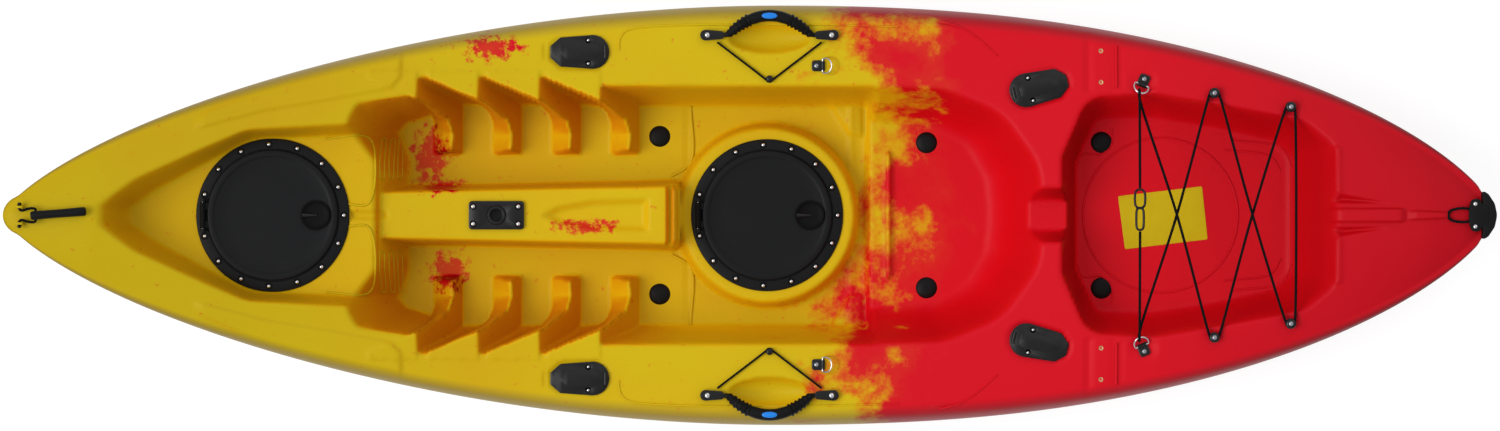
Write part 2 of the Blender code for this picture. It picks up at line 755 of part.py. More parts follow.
def scupper_holes(body):
    """Cut the six drain holes through their tubes."""
    for x, y, floor in SCUPPERS.values():
        for side in (1, -1):
            above = (x, side * y, floor + 0.02)
            cut(body, rod("scupper_hole", SCUPPER_HOLE, (x, side * y, -0.05), above, sides=16))
            rebate = (x, side * y, floor - SCUPPER_REBATE)
            cut(body, rod("head_rebate", SCUPPER_HEAD + GAP, rebate, above, sides=16))


def turned_about(outline, degrees, x, y, flip=1):
    """Turn a flat outline about its own centre and put it in place, mirrored in Y if flip is -1."""
    c, s = math.cos(math.radians(degrees)), math.sin(math.radians(degrees))
    return [(x + px * c - py * s, flip * (y + px * s + py * c)) for px, py in outline]


# Hatches


def make_hatch(label, rubber, plastic, steel):
    """One hatch: ring, seal, lid, hinge pin and latch knob."""
    x, floor = HATCHES[label]
    base = floor + GAP
    top = base + FLANGE_HEIGHT
    ring = turned(
        f"{label}_hatch_ring",
        (
            (THROAT_RADIUS, top - base), (THROAT_RADIUS, -SKIRT_DEPTH), (SKIRT_RADIUS, -SKIRT_DEPTH),
            (SKIRT_RADIUS, 0), (FLANGE_RADIUS, 0), (FLANGE_RADIUS, 0.003),
            (FLANGE_RADIUS - 0.004, top - base),
        ),
        (x, 0, base), plastic, closed=True,
    )
    seal_z = top + GAP
    turned(
        f"{label}_hatch_seal",
        ((SEAL_RADII[0], SEAL_HEIGHT), (SEAL_RADII[0], 0), (SEAL_RADII[1], 0), (SEAL_RADII[1], SEAL_HEIGHT)),
        (x, 0, seal_z), rubber, closed=True,
    )
    under = seal_z + SEAL_HEIGHT + GAP
    lip = under - (top + 2 * GAP)
    lid = turned(
        f"{label}_hatch_lid",
        (
            (0, LID_THICKNESS), (LID_RADIUS - 0.0125, LID_THICKNESS),
            (LID_RADIUS - 0.010, LID_THICKNESS + 0.0013),
            (LID_RADIUS - 0.002, LID_THICKNESS + 0.0013), (LID_RADIUS, LID_THICKNESS - 0.0005),
            (LID_RADIUS, -lip),
            (LID_RADIUS - 0.003, -lip), (LID_RADIUS - 0.0035, 0), (0, 0),
        ),
        (x, 0, under), plastic,
    )
    hinge_x = x - HINGE_OFFSET
    axis_z = top + GAP + KNUCKLE_RADIUS
    knuckle = rod("knuckle", KNUCKLE_RADIUS, (hinge_x, -HINGE_HALF, axis_z), (hinge_x, HINGE_HALF, axis_z))
    arm_end = x - math.sqrt(LID_RADIUS**2 - HINGE_HALF**2) + 0.006
    arm = block(
        "arm", (arm_end - hinge_x, 2 * HINGE_HALF - 0.002, LID_THICKNESS),
        ((arm_end + hinge_x) / 2, 0, under + LID_THICKNESS / 2 + 0.0004),
    )
    fuse(lid, knuckle, arm)
    axis = ((hinge_x, -0.05, axis_z), (hinge_x, 0.05, axis_z))
    cut(lid, rod("pin_hole", PIN_RADIUS + RUNNING_GAP, *axis, sides=12))
    for side in (1, -1):
        near, far = (side * (HINGE_HALF + k) for k in (GAP, EAR_WIDTH + GAP))
        ear = rod("ear", KNUCKLE_RADIUS, (hinge_x, near, axis_z), (hinge_x, far, axis_z))
        foot = block(
            "ear_foot", (2 * KNUCKLE_RADIUS, EAR_WIDTH, axis_z - top + 0.001),
            (hinge_x, (near + far) / 2, (axis_z + top - 0.001) / 2),
        )
        fuse(foot, ear)
        fuse(ring, foot)
    cut(ring, rod("ear_hole", PIN_RADIUS + RUNNING_GAP, *axis, sides=12))
    pin_half = HINGE_HALF + EAR_WIDTH
    rod(
        f"{label}_hatch_pin", PIN_RADIUS, (hinge_x, -pin_half, axis_z), (hinge_x, pin_half, axis_z), steel,
        sides=12,
    )
    knob_x = x + KNOB_OFFSET
    cut(
        lid,
        rod("shaft_hole", KNOB_SHAFT + RUNNING_GAP, (knob_x, 0, under - 0.01), (knob_x, 0, under + 0.02)),
    )
    pivot_at(lid, (hinge_x, 0, axis_z))
    knob_z = under + LID_THICKNESS + GAP
    foot_z = base - SKIRT_DEPTH - 0.0005
    knob = turned(
        f"{label}_hatch_knob",
        (
            (0, KNOB_HEIGHT), (KNOB_RADIUS - 0.002, KNOB_HEIGHT), (KNOB_RADIUS, KNOB_HEIGHT - 0.002),
            (KNOB_RADIUS, 0), (KNOB_SHAFT, 0), (KNOB_SHAFT, foot_z - 0.003 - knob_z),
            (0, foot_z - 0.003 - knob_z),
        ),
        (knob_x, 0, knob_z), plastic, sides=24,
    )
    grip = block(
        "knob_grip", (2 * KNOB_RADIUS - 0.010, 0.009, 0.010),
        (knob_x, 0, knob_z + KNOB_HEIGHT + 0.002), bevel=0.002,
    )
    tongue = block(
        "knob_tongue", (0.013, TONGUE_LENGTH + KNOB_SHAFT, 0.004),
        (knob_x, (TONGUE_LENGTH - KNOB_SHAFT) / 2, foot_z - 0.002),
    )
    fuse(knob, grip, tongue)
    pivot_at(knob, (knob_x, 0, knob_z))


# Rod holders


def make_rod_holder(label, side, body, plastic):
    """One flush rod holder with its tube let into the deck, and its hinged cap."""
    x, y, turn, aim = HOLDERS[label]
    name = f"{label}_{'port' if side > 0 else 'starboard'}"
    outline = egg(HOLDER_ROUND, HOLDER_TAB, HOLDER_SPREAD)
    seat_z = flat_height(x, y, HOLDER_SPREAD / 2 + HOLDER_ROUND, HOLDER_ROUND)
    heading = turn if aim < 0 else 180 + turn

    def placed(points):
        """The outline on the deck, with its round end towards the stern or the bow."""
        return turned_about(points, heading, x, y, side)

    cut(body, slab("holder_flat", placed(moved_outward(outline, 0.001)), seat_z, GUNWALE_HEIGHT * 1.2))
    mouth = placed([(-HOLDER_SPREAD / 2 + 0.008, 0)])[0]
    lean = Vector(placed([(-HOLDER_SPREAD / 2 - 1, 0)])[0]) - Vector(placed([(-HOLDER_SPREAD / 2, 0)])[0])
    tilt = math.radians(HOLDER_TILT)
    down = Vector((lean.x * math.sin(tilt), lean.y * math.sin(tilt), -math.cos(tilt)))
    centre = Vector((*mouth, seat_z + GAP + HOLDER_FLANGE))
    above = centre - down * 0.03
    holder = slab(
        f"{name}_rod_holder", placed(outline), seat_z + GAP, seat_z + GAP + HOLDER_FLANGE, plastic, 0.0012,
    )
    sleeve = rod("holder_sleeve", HOLDER_TUBE, centre + down * 0.002, centre + down * HOLDER_DEPTH)
    fuse(holder, sleeve)
    flange_top = seat_z + GAP + HOLDER_FLANGE
    cut(holder, slab("sleeve_trim", placed(moved_outward(outline, 0.02)), flange_top, flange_top + 0.03))
    cut(holder, rod("holder_bore", HOLDER_BORE, above, centre + down * (HOLDER_DEPTH - 0.003)))
    cut(body, rod("holder_hole", HOLDER_TUBE + 0.001, above, centre + down * (HOLDER_DEPTH + 0.004)))

    cap_outline = moved_outward(outline, -CAP_MARGIN)
    low = seat_z + 2 * GAP + HOLDER_FLANGE
    cap = slab(f"{name}_rod_cap", placed(cap_outline), low, low + CAP_THICKNESS, plastic, 0.001)
    hinge_u = -HOLDER_SPREAD / 2 - HOLDER_ROUND + CAP_MARGIN + CAP_KNUCKLE
    axis_z = low + CAP_KNUCKLE

    def across(reach):
        """A point on the cap's hinge axis."""
        return Vector((*placed([(hinge_u, reach)])[0], axis_z))

    trim = placed([(hinge_u - 0.02, -0.04), (hinge_u, -0.04), (hinge_u, 0.04), (hinge_u - 0.02, 0.04)])
    cut(cap, slab("cap_trim", trim, low - 0.01, low + 0.02))
    fuse(cap, rod("cap_knuckle", CAP_KNUCKLE, across(-CAP_KNUCKLE_HALF), across(CAP_KNUCKLE_HALF), sides=12))
    stub_half = CAP_KNUCKLE_HALF + 0.004
    ends = (across(-stub_half - 0.01), across(stub_half + 0.01))
    fuse(cap, rod("cap_stub", STUB_RADIUS, across(-stub_half), across(stub_half), sides=8))
    for end in (1, -1):
        near, far = (end * (CAP_KNUCKLE_HALF + k) for k in (GAP, 0.004))
        notch = placed([
            (hinge_u - 0.02, near - end * 0.0001), (hinge_u + CAP_KNUCKLE + 0.001, near - end * 0.0001),
            (hinge_u + CAP_KNUCKLE + 0.001, far + end * 0.03), (hinge_u - 0.02, far + end * 0.03),
        ])
        relief = slab("cap_relief", notch, low - 0.01, low + 0.02)
        cut(relief, rod("stub_space", STUB_RADIUS + 0.0002, *ends, sides=8))
        cut(cap, relief)
        ear = rod("cap_ear", CAP_KNUCKLE - 0.0005, across(near), across(far), sides=12)
        fuse(ear, block_between("cap_ear_foot", across(near), across(far), 0.006, low - GAP - 0.001, axis_z))
        fuse(holder, ear)
    cut(
        holder,
        rod("ear_hole", STUB_RADIUS + STUB_GAP, across(-stub_half - 0.01), across(stub_half + 0.01), sides=8),
    )
    pivot_at(cap, across(0))


def block_between(name, start, end, width, low, high):
    """A block along the line between two points, of a width and between two heights."""
    along = (Vector(end) - Vector(start)).normalized()
    half = Vector((-along.y, along.x, 0)) * width / 2
    corners = [Vector(start) - half, Vector(end) - half, Vector(end) + half, Vector(start) + half]
    return slab(name, [(c.x, c.y) for c in corners], low, high)


# Console fitting


def make_accessory_mount(body, plastic):
    """The mount plate on the console, with its socket let into it."""
    length, width, height = MOUNT_SIZE
    base = CONSOLE_TOP + GAP
    outline = rounded([
        (MOUNT_X + i * length / 2, j * width / 2, 0.005) for i, j in ((-1, -1), (1, -1), (1, 1), (-1, 1))
    ], 3)
    plate = slab("accessory_mount", outline, base, base + height, plastic, 0.001)
    collar, rise = MOUNT_COLLAR
    fuse(
        plate,
        rod("collar", collar, (MOUNT_X, 0, base + 0.001), (MOUNT_X, 0, base + height + rise), sides=24),
    )
    floor = base + height - SOCKET_DEPTH
    fuse(plate, rod("cup", SOCKET_CUP, (MOUNT_X, 0, floor - 0.003), (MOUNT_X, 0, base + 0.001), sides=24))
    cut(plate, rod("socket", SOCKET_RADIUS, (MOUNT_X, 0, floor), (MOUNT_X, 0, base + 0.03), sides=24))
    cut(
        body,
        rod("cup_hole", SOCKET_CUP + 0.001, (MOUNT_X, 0, floor - 0.01), (MOUNT_X, 0, base + 0.01), sides=24),
    )


# Handles and their cords


def make_carry_handle(side, body, rubber, plastic, cord):
    """One carry handle with its two end pads, paddle keeper cord and hook."""
    name = "port" if side > 0 else "starboard"
    length, width, height = HANDLE_PAD
    seat_z = flat_height(HANDLE_X, HANDLE_Y, HANDLE_PAD_SPREAD + length / 2, width / 2)
    axis_z = seat_z + GAP + HANDLE_AXIS_HEIGHT
    scoop = bmesh.new()
    bmesh.ops.create_uvsphere(scoop, u_segments=16, v_segments=8, radius=1)
    bmesh.ops.scale(scoop, vec=SCOOP_SIZE, verts=scoop.verts)
    bmesh.ops.translate(scoop, vec=(SCOOP_X, side * SCOOP_Y, edge_height(SCOOP_X)), verts=scoop.verts)
    cut(body, add("finger_scoop", scoop))
    for end, place in ((-1, "bow"), (1, "stern")):
        centre = Vector((HANDLE_X + end * HANDLE_PAD_SPREAD, side * HANDLE_Y, seat_z + GAP + height / 2))
        flat = block("pad_flat", (length + 0.002, width + 0.002, 0.04), (centre.x, centre.y, seat_z + 0.02))
        cut(body, flat)
        pad = block(f"{name}_{place}_handle_pad", HANDLE_PAD, centre, plastic, 0.002)
        inner = centre.x - end * length / 2
        neck = ((inner - end * 0.01, centre.y, axis_z), (inner + end * 0.018, centre.y, axis_z))
        cut(pad, rod("neck_hole", HANDLE_NECK + RUNNING_GAP, *neck, sides=12))
    half = HANDLE_PAD_SPREAD - length / 2
    out = HANDLE_Y + HANDLE_REACH
    lift = axis_z + 0.0075
    route = [
        (-half - 0.016, HANDLE_Y, axis_z), (-half + 0.001, HANDLE_Y, axis_z),
        (-half + 0.009, HANDLE_Y + 0.003, axis_z + 0.001),
        (-half + 0.022, HANDLE_Y + 0.014, lift - 0.001), (-0.036, out - 0.007, lift), (-0.012, out, lift),
    ]
    radii = [HANDLE_NECK, HANDLE_NECK, 0.0045, 0.0075, HANDLE_GRIP, HANDLE_GRIP]
    route += [(-x, y, z) for x, y, z in reversed(route)]
    radii += radii[::-1]
    grip = tube(
        f"{name}_carry_handle",
        [(HANDLE_X + x, side * y, z) for x, y, z in route],
        1.0, rubber, radii=radii, resolution=3,
    )
    pivot_at(grip, (HANDLE_X, side * HANDLE_Y, axis_z))

    hook_z = flat_height(HANDLE_X, HOOK_Y, 0.006, 0.006)
    cut(
        body,
        rod("hook_flat", 0.0075, (HANDLE_X, side * HOOK_Y, hook_z), (HANDLE_X, side * HOOK_Y, hook_z + 0.03)),
    )
    turned(
        f"{name}_paddle_hook",
        (
            (0, HOOK_HEIGHT), (0.0045, HOOK_HEIGHT), (0.0062, HOOK_HEIGHT - 0.002),
            (0.0062, HOOK_HEIGHT - 0.0035),
            (0.0032, HOOK_HEIGHT - 0.005), (0.0032, 0.002), (0.0065, 0.0012), (0.0065, 0), (0, 0),
        ),
        (HANDLE_X, side * HOOK_Y, hook_z + GAP), plastic, sides=SMALL_ROUND,
    )
    wrap = 0.0032 + KEEPER_RADIUS + GAP
    cord_z = hook_z + 0.0045
    pad_y = HANDLE_Y - width / 2 - GAP - KEEPER_RADIUS
    end_x = half + 0.012
    path = [(-end_x, pad_y, seat_z + 0.006)]
    path += [
        (wrap * math.cos(a), HOOK_Y + wrap * math.sin(a), cord_z)
        for a in (math.radians(180 + 30 + 24 * k) for k in range(6))
    ]
    path += [(end_x, pad_y, seat_z + 0.006)]
    tube(f"{name}_paddle_keeper", [(HANDLE_X + x, side * y, z) for x, y, z in path], KEEPER_RADIUS, cord)


# D-rings


def make_d_ring(label, side, body, plastic, steel):
    """One D-ring in its screwed pad; the ring hangs on a straight bar."""
    x, y, turn = D_RINGS[label]
    name = f"{label}_{'port' if side > 0 else 'starboard'}"
    length, width, thick = RING_PAD
    seat_z = flat_height(x, y, RING_FLAT, RING_FLAT)
    cut(body, rod("ring_flat", RING_FLAT, (x, side * y, seat_z), (x, side * y, seat_z + 0.04)))

    def placed(points):
        """Points of the pad's own plan, whose ring points towards -Y before it is turned."""
        return turned_about(points, turn, x, y, side)

    outline = placed(rounded([
        (-width / 2, -length / 2, 0.003), (width / 2, -length / 2, 0.003), (width / 2, length / 2, 0.006),
        (-width / 2, length / 2, 0.006),
    ], 2))
    base = seat_z + GAP
    pad = slab(f"{name}_ring_pad", outline, base, base + thick, plastic, 0.0008)
    bar_y = -length / 2 + RING_BARREL
    axis_z = base + thick + 0.0005

    def across(reach):
        """A point on the ring's hinge axis."""
        return Vector((*placed([(reach, bar_y)])[0], axis_z))

    barrel_half = width / 2 - 0.002
    fuse(pad, rod("ring_barrel", RING_BARREL - 0.0005, across(-barrel_half), across(barrel_half), sides=12))
    cut(pad, rod("ring_bore", RING_WIRE + RUNNING_GAP, across(-0.02), across(0.02), sides=10))
    low = slab(
        "under_pad", placed([(-0.02, -0.03), (0.02, -0.03), (0.02, 0.03), (-0.02, 0.03)]), base - 0.01, base,
    )
    cut(pad, low)
    points = [(-RING_BAR, 0), (RING_BAR, 0)]
    points += [
        (RING_ARCH * math.cos(a), -RING_DROP + RING_ARCH * math.sin(a))
        for a in (math.radians(-22.5 * k) for k in range(9))
    ]
    lift = math.radians(RING_LIFT[label])
    run = []
    for px, py in points:
        flat = placed([(px, bar_y + py * math.cos(lift))])[0]
        run.append((*flat, axis_z - py * math.sin(lift)))
    ring = tube(f"{name}_d_ring", run, RING_WIRE, steel, closed=True)
    pivot_at(ring, across(0))


# Tank bungee


def make_bungee(body, plastic, cord, steel):
    """The shock cord over the tank well, with its buttons and its clip."""
    tops = {}
    for label, (x, y) in BUTTONS.items():
        seat_z = flat_height(x, y, BUTTON_RADIUS, BUTTON_RADIUS)
        tops[label] = seat_z + BUTTON_CORD_HEIGHT
        for side, hand in ((1, "port"), (-1, "starboard")):
            foot, above = (x, side * y, seat_z), (x, side * y, seat_z + 0.03)
            cut(body, rod("button_flat", BUTTON_RADIUS + 0.002, foot, above))
            turned(
                f"{label}_{hand}_bungee_button",
                (
                    (0, BUTTON_HEIGHT), (0.006, BUTTON_HEIGHT), (BUTTON_RADIUS, BUTTON_HEIGHT - 0.002),
                    (BUTTON_RADIUS, BUTTON_HEIGHT - 0.0035), (BUTTON_NECK, BUTTON_HEIGHT - 0.0035),
                    (BUTTON_NECK, 0.0035), (BUTTON_RADIUS, 0.0025), (BUTTON_RADIUS, 0), (0, 0),
                ),
                (x, side * y, seat_z + GAP), plastic, sides=SMALL_ROUND,
            )
    wrap = BUTTON_NECK + CORD_RADIUS + GAP
    middle, aft = BUTTONS["middle"], BUTTONS["aft"]
    high = tops["middle"]
    x, y, turn = D_RINGS["rear"]
    lift = math.radians(RING_LIFT["rear"])
    length = RING_PAD[0]
    arm = -RING_ARCH - RING_DROP
    eye_x, eye_y = turned_about([(0, -length / 2 + RING_BARREL + arm * math.cos(lift))], turn, x, y)[0]
    eye_z = flat_height(x, y, RING_FLAT, RING_FLAT) + GAP + RING_PAD[2] + 0.0005 - arm * math.sin(lift)
    clip_top, clip_foot = CLIP_Y + CLIP_LENGTH / 2, CLIP_Y - CLIP_LENGTH / 2

    def hitch(button, first, last, height, side):
        """Points round a button's neck, between two headings in degrees."""
        turns = [math.radians(first + (last - first) * k / 5) for k in range(6)]
        x, y = button
        return [(x + wrap * math.cos(a), side * (y + wrap * math.sin(a)), height) for a in turns]

    def through_ring(side):
        """Points from the clip's side over the ring's far wire, down through the ring and back out."""
        steps = ((-0.014, 0.0080), (0.0045, 0.0042), (0.0060, -0.0005), (0.0038, -0.0048), (-0.006, -0.0058))
        return [(eye_x, side * (eye_y + along), eye_z + rise) for along, rise in steps]

    over, under = 1.6 * CORD_RADIUS, -1.6 * CORD_RADIUS
    ring_cross = 0.5 * (eye_x + middle[0])
    button_cross = 0.5 * (middle[0] + aft[0])
    path = [(CLIP_X, clip_top + CLIP_WIRE + GAP, high), *through_ring(1), (ring_cross, 0, high + over)]
    path += [
        *hitch(middle, 163, 18, high, -1), (button_cross, 0, high + under),
        *hitch(aft, 162, 0, tops["aft"], 1),
    ]
    path += [
        *hitch(aft, 0, 162, tops["aft"], -1), (button_cross, 0, high + over),
        *hitch(middle, 18, 163, high, 1),
    ]
    path += [
        (ring_cross, 0, high + under), *reversed(through_ring(-1)),
        (CLIP_X, clip_foot - CLIP_WIRE - GAP, high),
    ]
    tube("tank_bungee", path, CORD_RADIUS, cord)

    waist = CLIP_Y + 0.05 * CLIP_LENGTH
    loops = []
    for low, top, half in (
        (waist - CLIP_WIRE / 2, clip_top, CLIP_HALF_WIDTH), (clip_foot, waist, 0.7 * CLIP_HALF_WIDTH),
    ):
        ends = [(low + half, 180), (top - half, 0)]
        turns = [(y, math.radians(first + 45 * k)) for y, first in ends for k in range(5)]
        oval = [(CLIP_X + half * math.cos(a), y + half * math.sin(a), high) for y, a in turns]
        loops.append(oval)
    clip = tube("bungee_clip", loops[0], CLIP_WIRE, plastic, closed=True)
    fuse(clip, tube("clip_hook", loops[1], CLIP_WIRE, closed=True))


# Bow and stern fittings


def make_bow_toggle(body, rubber, cord):
    """The bow toggle: a grip on a cord loop that swings in two moulded eyes."""
    deck = deck_height(TOGGLE_X, 0)
    axis_z = deck + TOGGLE_AXIS_HEIGHT
    for side in (1, -1):
        eye = block(
            "eye", (0.012, 0.004, 0.020), (TOGGLE_X, side * TOGGLE_EYE_HALF, axis_z - 0.005), bevel=0.001,
        )
        fuse(body, eye)
    hole = TOGGLE_CORD + RUNNING_GAP
    cut(body, rod("eye_hole", hole, (TOGGLE_X, -0.03, axis_z), (TOGGLE_X, 0.03, axis_z), sides=12))
    grip_x = TOGGLE_X + 0.020
    grip_z = deck_height(grip_x + 0.02, 0) + TOGGLE_RADIUS + 0.002
    grip = turned(
        "bow_toggle_grip",
        (
            (0, TOGGLE_LENGTH), (TOGGLE_RADIUS - 0.002, TOGGLE_LENGTH),
            (TOGGLE_RADIUS, TOGGLE_LENGTH - 0.003),
            (TOGGLE_RADIUS - 0.001, 0.5 * TOGGLE_LENGTH), (TOGGLE_RADIUS, 0.003), (TOGGLE_RADIUS - 0.002, 0),
            (0, 0),
        ),
        (0, 0, 0), rubber, sides=SMALL_ROUND,
    )
    slope = math.atan2(deck_height(grip_x + TOGGLE_LENGTH, 0) - deck_height(grip_x, 0), TOGGLE_LENGTH)
    grip.data.transform(Matrix.Rotation(math.pi / 2 - slope, 4, "Y"))
    grip.data.transform(Matrix.Translation((grip_x, 0, grip_z)))
    cord_x = grip_x + 0.010
    cord_z = grip_z + 0.010 * math.sin(slope)
    cut(grip, rod("grip_hole", hole, (cord_x, -0.03, cord_z), (cord_x, 0.03, cord_z), sides=12))
    reach = TOGGLE_EYE_HALF + 0.0015
    half_loop = [
        (TOGGLE_X, reach, axis_z), (TOGGLE_X, TOGGLE_EYE_HALF - 0.004, axis_z),
        (TOGGLE_X + 0.004, TOGGLE_EYE_HALF - 0.0065, axis_z),
        (TOGGLE_X + 0.013, TOGGLE_RADIUS + 0.003, (axis_z + cord_z) / 2),
        (cord_x - 0.006, TOGGLE_RADIUS + 0.0045, cord_z),
        (cord_x - 0.001, TOGGLE_RADIUS + 0.003, cord_z), (cord_x, TOGGLE_RADIUS - 0.001, cord_z),
    ]
    loop = half_loop + [(x, -y, z) for x, y, z in reversed(half_loop)]
    line = tube("bow_toggle_cord", loop, TOGGLE_CORD, cord)
    for piece in (grip, line):
        pivot_at(piece, (TOGGLE_X, 0, axis_z))


def make_scupper_plugs(rubber):
    """Six tapered plugs, one in each drain hole."""
    for label, (x, y, floor) in SCUPPERS.items():
        for side, hand in ((1, "port"), (-1, "starboard")):
            turned(
                f"{label}_{hand}_scupper_plug",
                (
                    (0, SCUPPER_HEAD_HEIGHT), (0.6 * SCUPPER_HEAD, 0.85 * SCUPPER_HEAD_HEIGHT),
                    (SCUPPER_HEAD, 0.35 * SCUPPER_HEAD_HEIGHT), (SCUPPER_HEAD, 0), (SCUPPER_HOLE - GAP, 0),
                    (SCUPPER_HOLE - 0.002, -SCUPPER_STEM), (0, -SCUPPER_STEM),
                ),
                (x, side * y, floor - SCUPPER_REBATE + GAP), rubber, sides=16,
            )


def make_inserts(body, brass):
    """Threaded brass inserts in the side decks, for a seat or a crate."""
    for label, (x, y) in INSERTS.items():
        seat_z = flat_height(x, y, INSERT_HEAD, INSERT_HEAD)
        for side, hand in ((1, "port"), (-1, "starboard")):
            centre = (x, side * y, seat_z)
            top = (x, side * y, seat_z + 0.02)
            cut(body, rod("insert_flat", INSERT_HEAD + 0.001, centre, top, sides=TINY_ROUND))
            above = (x, side * y, seat_z + 0.01)
            below = (x, side * y, seat_z - 0.02)
            cut(body, rod("insert_hole", INSERT_BARREL + GAP, below, above, sides=TINY_ROUND))
            insert = turned(
                f"{label}_{hand}_insert",
                (
                    (INSERT_HOLE, 0.0012), (INSERT_HEAD, 0.0012), (INSERT_HEAD, 0), (INSERT_BARREL, 0),
                    (INSERT_BARREL, -INSERT_DEPTH), (INSERT_HOLE, -INSERT_DEPTH),
                ),
                (x, side * y, seat_z + GAP), brass, sides=TINY_ROUND, closed=True,
            )
            insert.data.shade_flat()


def make_stern_handle(rubber, cord):
    """The moulded handle round the stern's tip, and its short loop of cord."""
    tip = STERN_TIP_X
    end = LENGTH / 2
    deck = max(deck_height(STERN_PAD_X, 0), deck_height(tip, 0)) + GAP
    top = deck + STERN_PAD_HEIGHT
    plate = rounded([
        (STERN_PAD_X, -STERN_PAD_HALF, 0.004), (tip - 0.012, -STERN_PAD_HALF, 0.004),
        (tip - 0.006, -BUMPER_HALF, 0.003),
        (end - 0.006, -0.6 * BUMPER_HALF, 0.020), (end, 0, 0), (end - 0.006, 0.6 * BUMPER_HALF, 0.020),
        (tip - 0.006, BUMPER_HALF, 0.003), (tip - 0.012, STERN_PAD_HALF, 0.004),
        (STERN_PAD_X, STERN_PAD_HALF, 0.004),
    ], 3)
    handle = slab("stern_handle", plate, deck, top, rubber, 0.0015)
    nose = rounded([
        (tip - 0.014, -0.6 * BUMPER_HALF, 0.003), (end - 0.006, -0.55 * BUMPER_HALF, 0.018), (end, 0, 0),
        (end - 0.006, 0.55 * BUMPER_HALF, 0.018), (tip - 0.014, 0.6 * BUMPER_HALF, 0.003),
    ], 3)
    fuse(handle, slab("stern_nose", nose, deck - BUMPER_DEPTH, deck + 0.001))
    rings = []
    for i in range(STATIONS - 3, STATIONS + 1):
        x, half = station(i), half_breadth(station(i)) + 2 * GAP
        x += 2 * GAP if i == STATIONS else 0
        rings.append([(x, -half, deck - 0.1), (x, half, deck - 0.1), (x, half, deck), (x, -half, deck)])
    cut(handle, add("stern_space", rings_shape(rings)))
    lift = top - 0.003
    crest = deck_height(STERN_CORD_X, 0) + CORD_RADIUS + 2 * GAP
    half_loop = [
        (STERN_PAD_X - GAP, STERN_CORD_HALF, lift),
        (STERN_PAD_X - 0.012, STERN_CORD_HALF + 0.001, lift + 0.001),
        (STERN_CORD_X + 0.010, STERN_CORD_HALF - 0.001, crest),
        (STERN_CORD_X + 0.002, 0.6 * STERN_CORD_HALF, crest),
        (STERN_CORD_X, 0, crest),
    ]
    loop = half_loop + [(x, -y, z) for x, y, z in reversed(half_loop[:-1])]
    tube("stern_handle_cord", loop, CORD_RADIUS, cord)


def main():
    """Build every piece."""
    global PARTS, CUTTERS
    clear_scene()
    PARTS = collection("sit_on_top_kayak")
    CUTTERS = collection("cutters")
    shell = material("hull_plastic", (0.60, 0.45, 0.01), 0.38)
    plastic = material("black_plastic", (0.02, 0.02, 0.022), 0.45)
    rubber = material("black_rubber", (0.015, 0.015, 0.016), 0.75)
    cord = material("black_cord", (0.01, 0.01, 0.01), 0.9)
    steel = material("stainless_steel", (0.62, 0.62, 0.64), 0.25, 1.0)
    brass = material("brass", (0.75, 0.45, 0.22), 0.3, 1.0)

    hull = make_hull(shell)
    scupper_holes(hull)
    hatch_holes(hull)
    for label in HATCHES:
        make_hatch(label, rubber, plastic, steel)
    make_accessory_mount(hull, plastic)
    for side in (1, -1):
        for label in HOLDERS:
            make_rod_holder(label, side, hull, plastic)
        for label in D_RINGS:
            make_d_ring(label, side, hull, plastic, steel)
        make_carry_handle(side, hull, rubber, plastic, cord)
    make_bungee(hull, plastic, cord, steel)
    make_scupper_plugs(rubber)
    make_inserts(hull, brass)
    make_bow_toggle(hull, rubber, cord)
    make_stern_handle(rubber, cord)


main()
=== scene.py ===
"""The looks of the sit-on-top fishing kayak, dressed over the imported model.

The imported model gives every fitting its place. This script makes the smooth moulded hull, the
marbled plastic, the hatches, holders, handles, cords and screws that show, the floor, the lamps
and the camera. Metres, +X from the bow to the stern, +Y to the picture's upper side, +Z up.
"""

from __future__ import annotations

import json
import logging
import math
from dataclasses import dataclass, replace
from enum import Enum

import bmesh
import bpy
import numpy as np
from mathutils import Matrix, Vector

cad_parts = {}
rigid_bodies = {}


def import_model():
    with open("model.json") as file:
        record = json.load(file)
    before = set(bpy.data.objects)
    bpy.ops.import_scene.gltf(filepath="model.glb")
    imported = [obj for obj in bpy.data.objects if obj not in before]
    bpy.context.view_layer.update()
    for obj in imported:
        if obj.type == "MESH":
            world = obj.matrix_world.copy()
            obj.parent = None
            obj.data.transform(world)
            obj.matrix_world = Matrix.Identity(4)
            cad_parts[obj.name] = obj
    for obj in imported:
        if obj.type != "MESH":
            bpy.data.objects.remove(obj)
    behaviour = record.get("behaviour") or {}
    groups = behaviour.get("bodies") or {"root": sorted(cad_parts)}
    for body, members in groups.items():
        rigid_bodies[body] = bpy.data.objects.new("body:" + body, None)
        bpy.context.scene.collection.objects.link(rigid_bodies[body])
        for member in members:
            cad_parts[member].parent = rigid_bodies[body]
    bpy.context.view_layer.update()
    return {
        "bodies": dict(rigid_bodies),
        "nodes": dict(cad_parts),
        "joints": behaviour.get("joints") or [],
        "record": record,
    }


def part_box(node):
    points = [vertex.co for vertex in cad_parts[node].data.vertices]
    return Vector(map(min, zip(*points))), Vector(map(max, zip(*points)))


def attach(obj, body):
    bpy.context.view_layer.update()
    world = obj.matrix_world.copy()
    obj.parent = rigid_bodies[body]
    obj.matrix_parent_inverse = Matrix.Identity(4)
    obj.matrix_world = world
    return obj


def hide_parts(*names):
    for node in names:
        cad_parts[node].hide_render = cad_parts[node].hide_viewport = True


log = logging.getLogger("kayak")

